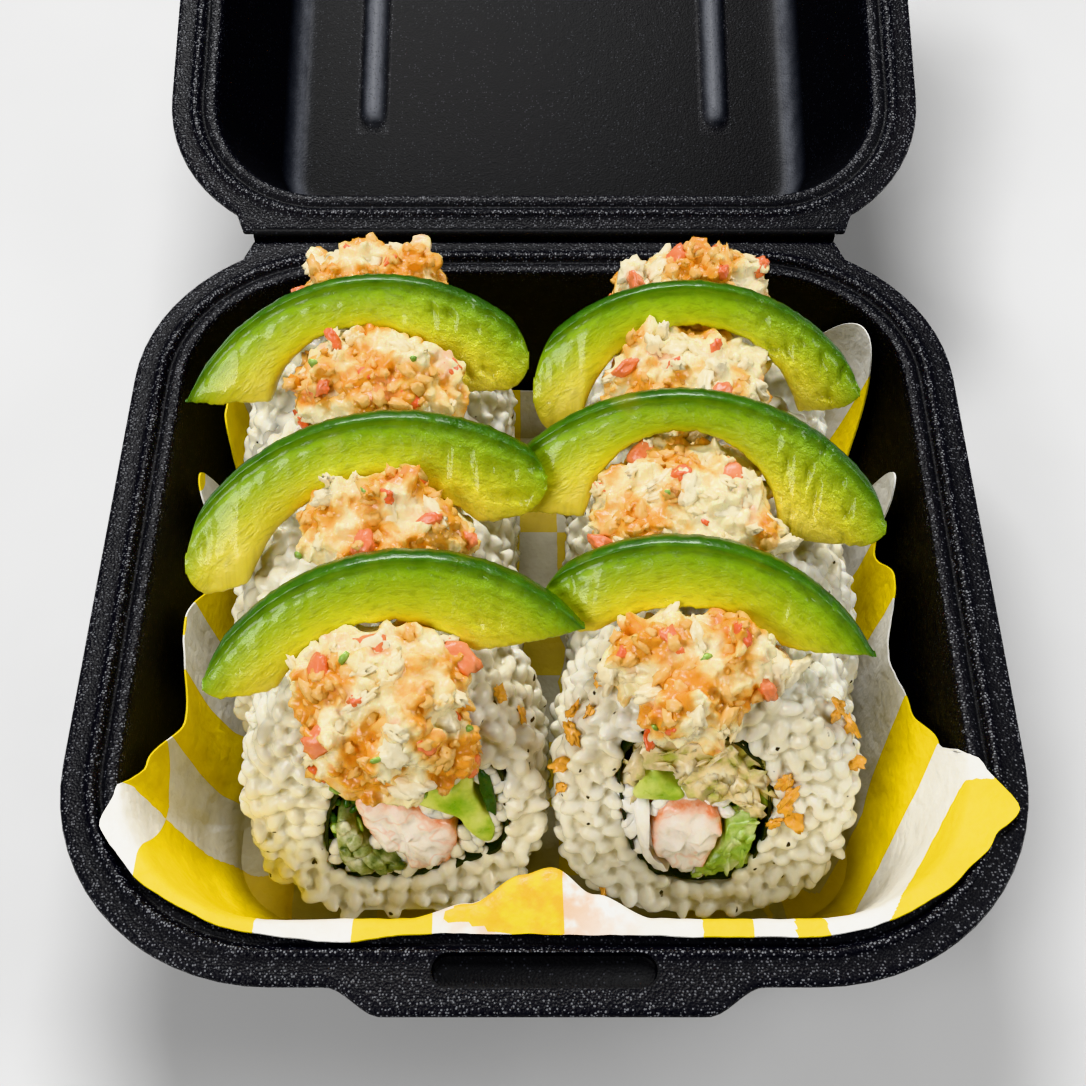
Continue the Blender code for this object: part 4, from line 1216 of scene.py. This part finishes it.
def make_filling(kind, side, number):
    outline = smooth_loop(FILLINGS[side][kind], 72)
    middle = sum(outline, Vector((0, 0))) / len(outline)
    rise, rough = DOMES[kind]
    steps = [(0.04, 1), (0.2, 0.99), (0.36, 0.96), (0.52, 0.9), (0.66, 0.8), (0.78, 0.66),
             (0.88, 0.46), (0.95, 0.2), (0.99, -0.2), (1.0, -0.8)]
    rows = [(size, -height * rise * MM) for size, height in steps]
    rows += [(1.0, PIECE_LENGTH * k / 4) for k in (1, 2, 3)]
    rows += [(size, PIECE_LENGTH + (height - 1) * 0.8 * MM) for size, height in steps[::-1]]
    loops, edge = [], []
    for shrink, depth in rows:
        loop, red = [], []
        for p in outline:
            q = middle + (p - middle) * shrink
            at = Vector((q.x, q.y, number * 0.01)) * 420
            push = noise.noise(at) * rough * MM + noise.noise(at * 2.7) * 0.4 * rough * MM
            front = depth < PIECE_LENGTH / 2
            at_depth = depth - push if front else min(depth, PIECE_LENGTH - 0.2 * MM)
            side_way = 1 + 0.05 * rough * noise.noise(Vector((q.x * 300, q.y * 300, depth * 200)))
            q = middle + (q - middle) * side_way
            loop.append(on_face(q.x, q.y, at_depth, side, number))
            red.append(shrink**2)
        loops.append(loop)
        edge.append(red)
    name = f"{kind}_{side}_{number + 1}"
    mesh = to_mesh(skin(loops, {"edge": edge}), name, 70)
    return piece(f"{name}_strip", mesh, look_of(side, kind), [name])


strips = [make_filling(kind, side, number)
          for side in FILLINGS for kind in FILLINGS[side] for number in (0, 3)]
print("strips of filling:", len(strips))

# %% [markdown]
# Between the strips the hole is not empty: rice has squeezed past the nori in the left
# roll, and cream, shreds and green bits fill the right one. A disc that stands a little
# inside the hole carries them, and they stay out of the strips' own outlines.

# %% Stuffing between the strips

def inside(point, outline):
    """Whether a point lies in an outline in the plane of the face."""
    hits = False
    for a, b in zip(outline, outline[1:] + outline[:1]):
        if (a.y > point.y) != (b.y > point.y):
            if point.x < a.x + (b.x - a.x) * (point.y - a.y) / (b.y - a.y):
                hits = not hits
    return hits


def stuffing_disc(side, number, depth, shown):
    """A disc inside the nori. shown says where, across and up, it carries bits."""
    outlines = [smooth_loop(outline, 40) for outline in FILLINGS[side].values()]
    ring = by_angle(side, 64, -0.6 * MM)
    middle = Vector(NORI_MIDDLE[side]) * MM
    loops, cover = [], []
    for k in range(1, 17):
        flat = [middle + (p - middle) * (k / 16) for p in ring]
        loops.append([on_face(p.x, p.y, depth, side, number) for p in flat])
        cover.append([float(shown(p.x / MM, p.y / MM) and not any(inside(p, o) for o in outlines))
                      for p in flat])
    mesh = as_mesh(skin(loops, {"cover": cover}, caps=(True, False)), "stuffing")
    mesh.shade_flat()
    facing_front = sum((f.normal for f in mesh.polygons), Vector()).y < 0
    if facing_front != (depth < PIECE_LENGTH / 2):
        mesh.flip_normals()
    return mesh


CHIPS = lump_kit("chip", 1.0, 51, 2, 0.3, (2.6, 1.9, 0.4), (2.0, 1.7, 0.4), (3.1, 1.2, 0.4))
DABS = lump_kit("dab", 0.3, 61, 3, 0.0, (2.1, 1.7, 1.2), (1.6, 1.5, 1.1), (2.6, 1.5, 1.1))
THREADS = lump_kit("thread", 0.4, 71, 2, 0.4, (2.4, 0.6, 0.5), (1.7, 0.8, 0.5), (1.2, 0.9, 0.6))

# What fills a hole: roll, name, slot, shapes, where it shows, spacing, depth, tilt
STUFFING = (
    ("left", "squeezed_rice", "rice", FINE_GRAINS, lambda x, y: x > 4 or y < -8, 1.5, 1.5, 0.6),
    ("left", "dark_shreds", "greens", THREADS, lambda x, y: x < -3, 1.5, 1.9, 0.8),
    ("left", "light_shreds", "cucumber", THREADS, lambda x, y: x < -5 or y > 6, 2.9, 1.6, 0.8),
    ("right", "cream_dabs", "cream", DABS, lambda x, y: x < 3.5 and y < 4.5, 1.7, 1.5, 0.6),
    ("right", "cucumber_shreds", "cucumber", THREADS, lambda x, y: x > -1 and y < 2, 1.6, 1.7, 0.8),
    ("right", "flake_chips", "flakes", CHIPS, lambda x, y: y > 2, 2.4, 1.8, 0.8),
)


def make_stuffing(side, name, slot, shapes, shown, spacing, depth, tilt):
    look = FILLING_LOOKS.get(slot, RICE_LOOK)
    for number, end in ((0, depth * MM), (3, PIECE_LENGTH - depth * MM)):
        disc = stuffing_disc(side, number, end, shown)
        mesh = scattered(disc, shapes, look, spacing * MM, (0.7, 1.1), 0.0, tilt, 31 + number)
        piece(f"{name}_{side}_{number + 1}", mesh, look)


for row in STUFFING:
    make_stuffing(*row)
print("kinds of stuffing:", len(STUFFING))

# %% [markdown]
# The flakes and the cucumber are chopped, so their strips alone look too smooth. Bits of
# the same finish lie over the shown end of each, spread by the same tree.

# %% Chopped ends

CHOPPED = (("right", "flakes", CHIPS, 2.3, 0.8), ("right", "cucumber", THREADS, 1.9, 0.6),
           ("left", "cucumber", DABS, 2.2, 0.5))


def chopped_end(side, kind, shapes, spacing, tilt, number):
    strip = bpy.data.objects[f"{kind}_{side}_{number + 1}_strip"].data
    carrier = strip.copy()
    cover = carrier.attributes.new("cover", "FLOAT", "POINT")
    way = -1 if number == 0 else 1
    cover.data.foreach_set("value", [float(v.normal.y * way > 0.6) for v in carrier.vertices])
    look = look_of(side, kind)
    mesh = scattered(carrier, shapes, look, spacing * MM, (0.6, 1.0), 0.1 * MM, tilt, 71)
    piece(f"{kind}_{side}_{number + 1}_bits", mesh, look)


for side, kind, shapes, spacing, tilt in CHOPPED:
    for number in (0, 3):
        chopped_end(side, kind, shapes, spacing, tilt, number)
print("chopped ends:", 2 * len(CHOPPED))

# %% [markdown]
# The avocado slices are half rings, cut from a pitted half and then peeled. Under the
# peel the flesh is dark green and shiny, and it turns through lime to yellow at the pit.
# Each point keeps its distance from the rim and its place along the slice, so that
# the colours follow the curve and the wet crinkles stay at the ends.

# %% Avocado finish

def avocado_look():
    look, tree, shader = new_look("avocado_slice", IOR=1.42, Coat_Weight=0.3, Coat_Roughness=0.08,
                                  Subsurface_Weight=0.12, Subsurface_Radius=(0.7, 1.0, 0.15),
                                  Subsurface_Scale=0.002)
    rim = stored(tree, "rim_share")
    inwards = maths(tree, "ADD", rim, -0.07)
    drift = maths(tree, "MULTIPLY_ADD", specks(tree, 4 * MM, 4), 0.14, inwards)
    colour = ramp(tree, drift, (0.0, (0.020, 0.085, 0.003)), (0.06, (0.045, 0.14, 0.004)),
                  (0.13, (0.13, 0.27, 0.007)), (0.27, (0.27, 0.40, 0.014)),
                  (0.48, (0.45, 0.51, 0.024)), (0.72, (0.68, 0.61, 0.045)),
                  (1.0, (0.82, 0.68, 0.10)))
    combed = add(tree, "ShaderNodeCombineXYZ", {
        "X": maths(tree, "MULTIPLY", stored(tree, "along"), 7.0),
        "Y": maths(tree, "MULTIPLY", rim, 16.0)}).outputs[0]
    veins = ramp(tree, specks(tree, 1.0, 4, combed), (0.34, 0.55), (0.5, 1.0))
    colour = mixed(tree, 0.45, colour, veins, "MULTIPLY")
    bruise = ramp(tree, specks(tree, 9 * MM, 3), (0.62, 0.0), (0.8, 0.35))
    colour = mixed(tree, bruise, colour, (0.40, 0.36, 0.03))
    folds = maths(tree, "MULTIPLY", specks(tree, 1.7 * MM, 4, rough=0.7), stored(tree, "crinkle"))
    scored = maths(tree, "ABSOLUTE", maths(tree, "ADD", specks(tree, 1.0, 3, combed), -0.5))
    finish(tree, shader, colour, maths(tree, "MULTIPLY_ADD", specks(tree, 2 * MM), 0.35, 0.2),
           (folds, 1.1 * MM, 1.0), (scored, 0.5 * MM, 0.45),
           (specks(tree, 3.2 * MM), 0.3 * MM, 0.35), (specks(tree, 0.5 * MM), 0.07 * MM, 0.4))
    return look


AVOCADO_LOOK = avocado_look()

# %% [markdown]
# The outline of a slice lies between the circle of the rim and the circle of the pit, in
# a plane that leans back. Each slice is given by its place, those two circles, its lower
# edge and its two ends, all in millimetres.

# %% Sizes of the slices

SLICE_LEAN = radians(44)
SLICE_THICK = 5.6
SLICE_WIDTH = 15.0
AROUND, STATIONS = 72, 161
SLICES = {
    # Circles are given as across, up and radius; wet says how crinkled the two ends are
    "left_front": dict(at=(-24.4, -19.1, 65), turn=1, rim=(3.4, -37.1, 37.1), pit=(0.3, -30.5, 19.4),
                       edge=((-27, -23.5), (29, -13.5)), ends=(-28.6, 30.5), wet=(0.3, 0.5)),
    "left_middle": dict(at=(-22.2, 7.9, 65.6), turn=-1, rim=(-1, -41, 41), pit=(-4.1, -34.5, 22.6),
                        edge=((-35, -31.5), (20, -16.5)), ends=(-36.4, 22.8), wet=(0.2, 0.6)),
    "left_back": dict(at=(-29.3, 39.2, 64.5), turn=-2, rim=(1.7, -37.7, 37.9), pit=(-1.5, -25.9, 16.9),
                      edge=((-31, -23.4), (26, -19.2)), ends=(-33, 26.9), wet=(0.3, 0.8)),
    "right_front": dict(at=(22.5, -15.4, 64.8), turn=-10, rim=(2.4, -35, 34.4), pit=(3.2, -34.5, 22.6),
                        edge=((-19, -18.6), (29, -15.6)), ends=(-22, 30.4), wet=(0.3, 0.3)),
    "right_middle": dict(at=(21.2, 11.8, 66.6), turn=-10, rim=(5.6, -38.4, 38.8), pit=(3.8, -22.4, 15.7),
                         edge=((-24, -23.6), (34, -21.6)), ends=(-27, 36.6), wet=(0.2, 1.0)),
    "right_back": dict(at=(25.3, 37.8, 64.5), turn=-2, rim=(0.3, -35, 35.1), pit=(0.9, -26.8, 19.1),
                       edge=((-26, -27), (28, -21.3)), ends=(-26.8, 30), wet=(0.2, 1.0)),
}
print("slices:", len(SLICES))

# %% [markdown]
# The section across a slice is a soft rectangle: flat cut faces and a rounded rim, with
# the line of the skin a little raised. Noise along the edges stands for the uneven
# knife, and torn, crinkled flesh for the ends.

# %% Avocado slices

def slice_edges(s, rim, pit, edge):
    (x0, y0), (x1, y1) = edge
    top = rim[1] + sqrt(max(rim[2] ** 2 - (s - rim[0]) ** 2, 0))
    low = y0 + (y1 - y0) * (s - x0) / (x1 - x0)
    if abs(s - pit[0]) < pit[2]:
        arc = pit[1] + sqrt(pit[2] ** 2 - (s - pit[0]) ** 2)
        low = 0.5 * (low + arc + sqrt((low - arc) ** 2 + 1.2))
    return top, min(low, top - 0.8)


def crinkled(along, wet):
    """How crumpled a slice is at a place along it, from its two ends' values."""
    return wet[0] * max(0, 1 - along / 0.25) + wet[1] * min(1, max(0, (along - 0.58) / 0.16))


def make_slice(name, number, at, turn, rim, pit, edge, ends, wet):
    turned = radians(turn)
    across = Vector((cos(turned), sin(turned), 0))
    up = Vector((-sin(turned) * sin(SLICE_LEAN), cos(turned) * sin(SLICE_LEAN), cos(SLICE_LEAN)))
    facing = across.cross(up)
    full = SLICE_THICK / 2
    section = []
    for k in range(AROUND):
        t = 2 * pi * (k + 0.5) / AROUND
        section.append([abs(c) ** 0.55 * (1 if c > 0 else -1) for c in (cos(t), sin(t))])
    first, last = ends
    loops, shares, crinkles, places = [], [], [], []
    for k in range(STATIONS):
        s = first + (last - first) * (0.5 - 0.5 * cos(pi * k / (STATIONS - 1)))
        top, low = slice_edges(min(max(s, first + 0.3), last - 0.3), rim, pit, edge)
        to_tip = max(0, min(s - first, last - s))
        fullness = max(sqrt(1 - max(0, 1 - to_tip / 4) ** 2), 0.3 if 0 < k < STATIONS - 1 else 0.2)
        high = (top - low) / 2 * fullness
        thick = full * (0.55 + 0.45 * min(1, to_tip / 9))
        nick = 0.35 * noise.noise(Vector((s * 0.35, number * 5.0, 0)))
        nick += 0.3 * noise.noise(Vector((s * 1.1, number * 5.0, 9)))
        along = (s - first) / (last - first)
        loop, share, crinkle = [], [], []
        for wide, deep in section:
            edge_noise = nick * (abs(wide) ** 3) * min(1, to_tip / 3)
            t = (top + low) / 2 + high * wide + edge_noise * (1 if wide < 0 else 0.5)
            n = thick * deep - full
            n += 0.12 * noise.noise(Vector((s * 0.5, t * 0.5, number * 3.0 + deep)))
            below = top - t
            if deep > 0:  # a raised skin line along the rim, then a shallow step
                n += 0.45 * max(0, 1 - abs(below - 1.0) / 0.9)
                n -= 0.28 * max(0, 1 - abs(below - 2.5))
            torn = max(0, noise.noise(Vector((s * 0.55, t * 0.4, number * 7.0))) - 0.12)
            n -= 2.2 * torn * crinkled(along, wet)
            point = (Vector(at) + across * s + up * t + facing * n) * MM
            loop.append(point)
            share.append(min(1, max(0, below / SLICE_WIDTH)))
            crinkle.append(min(1, 0.05 + crinkled(along, wet)))
        loops.append(loop)
        shares.append(share)
        crinkles.append(crinkle)
        places.append([along * (last - first) / SLICE_WIDTH] * AROUND)
    full_name = f"avocado_slice_{name}"
    values = {"rim_share": shares, "crinkle": crinkles, "along": places}
    mesh = to_mesh(skin(loops, values), full_name)
    return piece(f"{full_name}_flesh", mesh, AVOCADO_LOOK, [full_name])


slices = [make_slice(name, number, **shape) for number, (name, shape) in enumerate(SLICES.items())]
print("avocado slices:", len(slices), "faces in each:", len(slices[0].data.polygons))

# %% [markdown]
# The topping is crab sticks chopped with fried batter crumbs and mixed with a creamy
# sauce. The sauce joins the bits into one wet mass, so the mass is made as the real
# one: lumps are spread over the heap of the solid model, melted together and roughened.
# Its value golden says how full of fried crumbs a place is.

# %% Topping finishes

def cream_look():
    look, tree, shader = new_look("creamy_topping", IOR=1.42, Coat_Weight=0.35, Coat_Roughness=0.12,
                                  Subsurface_Weight=0.3, Subsurface_Radius=(1.0, 0.65, 0.3),
                                  Subsurface_Scale=0.002)
    fine = maths(tree, "MULTIPLY_ADD", specks(tree, 1.8 * MM, 5), 0.7, -0.35)
    golden = maths(tree, "ADD", stored(tree, "golden"), fine)
    colour = ramp(tree, golden, (0.26, (0.93, 0.81, 0.50)), (0.46, (0.93, 0.70, 0.32)),
                  (0.64, (0.88, 0.50, 0.13)), (0.84, (0.78, 0.33, 0.05)))
    blush = ramp(tree, specks(tree, 6 * MM, 2), (0.60, 0.0), (0.72, 0.55))
    colour = mixed(tree, blush, colour, (0.86, 0.36, 0.20))
    finish(tree, shader, colour, uneven(tree, 1 * MM, 0.15, 0.42),
           (specks(tree, 1.3 * MM, 4), 0.4 * MM, 0.5), (specks(tree, 0.35 * MM), 0.1 * MM, 0.35))
    return look


def bit_look(name, dark, light, bump, rough=(0.25, 0.5)):
    """A loose bit whose tone differs from one to the next."""
    look, tree, shader = new_look(name, IOR=1.45, Coat_Weight=0.4, Coat_Roughness=0.15)
    tone = maths(tree, "MULTIPLY_ADD", stored(tree, "tone"), 0.5, -0.1)
    share = maths(tree, "MULTIPLY_ADD", specks(tree, 1.6 * MM, 4), 0.7, tone, clamp=True)
    finish(tree, shader, mixed(tree, share, dark, light), uneven(tree, 0.8 * MM, *rough),
           (specks(tree, 0.9 * MM, 4), bump * MM, 0.6), (specks(tree, 0.25 * MM), 0.08 * MM, 0.4))
    return look


CREAM_LOOK = cream_look()
CRUMB_LOOK = bit_look("fried_crumbs", (0.78, 0.32, 0.04), (0.94, 0.62, 0.22), 0.4)
RED_LOOK = bit_look("crab_stick", (0.82, 0.09, 0.02), (0.90, 0.36, 0.16), 0.3, rough=(0.12, 0.3))
SAUCE_LOOK = bit_look("orange_sauce", (0.90, 0.36, 0.03), (0.98, 0.58, 0.14), 0.3, rough=(0.15, 0.3))
SHRED_LOOK = bit_look("pale_shreds", (0.90, 0.72, 0.36), (0.95, 0.88, 0.66), 0.35)
GREEN_LOOK = bit_look("green_bits", (0.10, 0.24, 0.02), (0.38, 0.52, 0.12), 0.2)

# %% [markdown]
# These are the bits that the tree picks from. Each kind has its own roughness and boxy
# value, and a few sizes in millimetres.

# %% Bits to pick from

LUMPS = lump_kit("lump", 0.6, 1, 2, 0.35, (2.2, 1.9, 1.8), (3.2, 1.6, 1.4), (2.0, 1.8, 1.6),
                 (1.4, 1.2, 1.1), (3.6, 1.2, 1.1))
CRUMBS = lump_kit("crumb", 0.8, 11, 2, 0.0, (1.5, 1.2, 1.0), (1.2, 1.1, 1.0), (1.9, 1.1, 0.9),
                  (0.9, 0.8, 0.7))
CUBES = lump_kit("cube", 0.45, 21, 3, 0.4, (2.5, 1.9, 1.2), (2.9, 1.6, 1.1), (1.9, 1.7, 1.2))
SHREDS = lump_kit("shred", 0.8, 31, 3, 0.45, (3.0, 1.8, 1.1), (2.4, 2.0, 1.2), (3.6, 1.3, 1.0))
SPRIGS = lump_kit("sprig", 0.4, 41, 1, 0.4, (1.1, 0.6, 0.35), (0.8, 0.7, 0.3))
print("kinds of bits:", len((LUMPS, CRUMBS, CUBES, SHREDS, SPRIGS)))

# %% [markdown]
# The spread of the bits follows the heap, but leaves out what lies under a slice or on
# the rice, where nobody sees it and where it would poke through. The distance to the
# slices is read from a search tree.

# %% Topping heaps

HEAP_SHRINK = 0.5 * MM  # room for the lumps within the solid's size


def search_tree(objects):
    points, faces = [], []
    for obj in objects:
        start = len(points)
        points += [v.co.copy() for v in obj.data.vertices]
        faces += [[start + i for i in p.vertices] for p in obj.data.polygons]
    return BVHTree.FromPolygons(points, faces)


SLICE_TREE = search_tree(slices)


def golden_at(place):
    """From 0, creamy, to 1, full of fried crumbs, in patches of about 8 mm."""
    return min(1, max(0, 0.5 + 1.1 * noise.noise(place * 125) + 0.5 * noise.noise(place * 290)))


def with_cover(mesh, keep_off, share=lambda place: 1.0):
    """Gives each point a cover of 0 near a slice or underneath, and share elsewhere."""
    values = []
    for v in mesh.vertices:
        _, _, _, away = SLICE_TREE.find_nearest(v.co)
        values.append(float(share(v.co)) if away > keep_off and v.normal.z > -0.35 else 0.0)
    keep(mesh, "cover", values)
    return mesh


def make_heap(name, order):
    node = frame["nodes"][f"topping_{name}"]
    bm = bmesh.new()
    bm.from_mesh(node.data)
    bmesh.ops.remove_doubles(bm, verts=bm.verts, dist=0.01 * MM)
    for v in bm.verts:
        v.co -= v.normal * HEAP_SHRINK
    base = with_cover(remeshed(as_mesh(bm, "base"), 0.9 * MM, 2), 1.3 * MM)
    lumps = scattered(base, LUMPS, CREAM_LOOK, 2.3 * MM, (0.6, 1.15), 0.2 * MM, 1.2, 60 + order,
                      with_surface=True)
    mass = remeshed(lumps, 0.42 * MM, 1)
    for v, normal in zip(mass.vertices, [v.normal.copy() for v in mass.vertices]):
        rough = noise.noise(v.co * 600) * 0.22 + noise.noise(v.co * 1500) * 0.13
        v.co += normal * rough * MM
    keep(mass, "golden", [golden_at(v.co) for v in mass.vertices])
    mass.shade_smooth()
    return piece(f"topping_{name}_mass", mass, CREAM_LOOK, [f"topping_{name}"])


heaps = [make_heap(name, order) for order, name in enumerate(
    f"{side}_{number}" for side in ROW_X for number in (1, 2, 3, 4))]
print("heap faces:", sum(len(heap.data.polygons) for heap in heaps))

# %% [markdown]
# The bits go over all heaps at once. Fried crumbs lie in the golden patches, pale shreds
# in the creamy ones, and cubes of crab and green bits anywhere.

# %% Bits on the heaps

# Name, shapes, finish, spacing, sizes, how deep they sink, seed, and the golden values
# between which they lie
HEAP_BITS = (
    ("fried_crumbs", CRUMBS, CRUMB_LOOK, 1.9, (0.5, 1.1), 0.35, 5, (0.62, 2)),
    ("crab_cubes", CUBES, RED_LOOK, 8.6, (0.6, 1.1), 1.0, 6, (-1, 2)),
    ("pale_shreds", SHREDS, SHRED_LOOK, 3.6, (0.45, 0.95), 0.6, 7, (-1, 0.42)),
    ("green_bits", SPRIGS, GREEN_LOOK, 13.0, (0.8, 1.2), 0.0, 8, (-1, 2)),
)


def make_heap_bits():
    bm = bmesh.new()
    for heap in heaps:
        bm.from_mesh(heap.data)
    whole = as_mesh(bm, "all_heaps")
    made = []
    for name, shapes, look, spacing, sizes, sunk, seed, (low, high) in HEAP_BITS:
        carrier = with_cover(whole.copy(), 1.2 * MM, lambda place: low < golden_at(place) < high)
        mesh = scattered(carrier, shapes, look, spacing * MM, sizes, sunk * MM, 0.7, seed)
        made.append(piece(name, mesh, look))
    return made


bits = make_heap_bits()
print("faces of the bits:", sum(len(obj.data.polygons) for obj in bits))

# %% [markdown]
# Some crumbs have fallen off the heaps and stick to the rice. Each place is given on a
# cut face, across, up and depth, and the nearest point of the rice takes the crumb, so
# that none of them hangs in the air.

# %% Loose crumbs

# Roll, across, up and depth in millimetres, then the crumb's length
LOOSE = (
    ("right", 12.6, 6.4, 0, 3.6), ("right", 13.2, 3.6, 0, 3.4), ("right", 12.4, 1.4, 0, 2.4),
    ("right", 14.1, -1.4, 0, 3.0), ("right", 10.8, -2.4, 0, 2.2),
    ("right", -8.5, -21.4, 0, 2.2), ("right", -17.0, -17.8, 0, 2.6), ("right", 20.5, 15.6, 3, 2.6),
    ("right", 21.9, 17.6, 5, 3.0), ("right", 23.0, 12.0, 6, 3.2), ("right", 23.6, 6.0, 4, 2.8),
    ("right", -20.0, 16.0, 5, 2.6), ("right", -22.4, 12.0, 4, 3.2), ("right", -23.5, 7.5, 3, 2.8),
    ("right", -24.0, 14.0, 8, 3.0), ("right", -18.5, 19.5, 8, 2.4), ("right", -22.8, 3.0, 2, 2.2),
    ("left", 21.6, 14.2, 6, 2.4), ("left", 17.4, 19.0, 6, 2.2), ("left", -9.5, 22.0, 4, 2.6),
    ("left", -13.0, 19.0, 6, 2.2), ("left", 6.0, -22.5, 0, 2.0),
)


def make_loose_crumbs():
    rice = search_tree([roll for roll in rolls if roll.name.split("_")[2] == "1"])
    chance = random.Random(3)
    bm = bmesh.new()
    for side, across, up, depth, length in LOOSE:
        guess = on_face(across * MM, up * MM, depth * MM, side, 0)
        spot, normal, _, _ = rice.find_nearest(guess)
        size = (length / 1.7, length / 2.6, length / 5)
        mesh = lump("bit", size, 1.1, chance.randint(1, 99), 3)
        turn = normal.to_track_quat("Z", "X").to_matrix().to_4x4()
        spin = Matrix.Rotation(chance.uniform(0, 2 * pi), 4, "Z")
        mesh.transform(Matrix.Translation(spot + normal * 0.15 * MM) @ turn @ spin)
        bm.from_mesh(mesh)
    mesh = as_mesh(bm, "loose_crumbs")
    keep(mesh, "tone", [0.5] * len(mesh.vertices))
    return piece("loose_crumbs", mesh, SAUCE_LOOK)


loose = make_loose_crumbs()
print("faces of the loose crumbs:", len(loose.data.polygons))

# %% [markdown]
# The box stands on a plain pale floor. A wide soft light above and behind gives the
# gloss on foam, rice and avocado, and a second one from the front left lights the cut
# faces. The floor and the lights belong to the studio, not to the object.

# %% Floor and lights

def make_floor():
    bm = bmesh.new()
    bmesh.ops.create_grid(bm, x_segments=1, y_segments=1, size=1.5)
    floor = put("floor", to_mesh(bm, "floor"))
    look, tree, shader = new_look("pale_floor")
    finish(tree, shader, ramp(tree, specks(tree, 60 * MM), (0.3, 0.60), (0.7, 0.64)), 0.7)
    floor.data.materials.append(look)


def soft_light(name, place, aim, size, power):
    data = bpy.data.lights.new(name, "AREA")
    data.shape = "RECTANGLE"
    data.size, data.size_y = size
    data.energy = power
    lamp = bpy.data.objects.new(name, data)
    lamp.location = place
    lamp.rotation_euler = (Vector(place) - Vector(aim)).to_track_quat("Z", "Y").to_euler()
    bpy.context.scene.collection.objects.link(lamp)


def make_studio():
    make_floor()
    soft_light("back_softbox", (-0.10, 0.40, 0.62), (0, 0, 0.04), (0.40, 0.22), 5.8)
    soft_light("front_softbox", (-0.48, -0.50, 0.58), (0, -0.02, 0.04), (0.45, 0.35), 5.0)
    soft_light("right_softbox", (0.55, -0.05, 0.45), (0, 0, 0.04), (0.3, 0.3), 2.0)
    world = bpy.data.worlds.new("studio")
    world.use_nodes = True
    sky = world.node_tree.nodes["Background"].inputs
    sky["Color"].default_value = (1.0, 0.98, 0.95, 1)
    sky["Strength"].default_value = 0.12
    bpy.context.scene.world = world
    bpy.context.scene.view_settings.view_transform = "Khronos PBR Neutral"


make_studio()
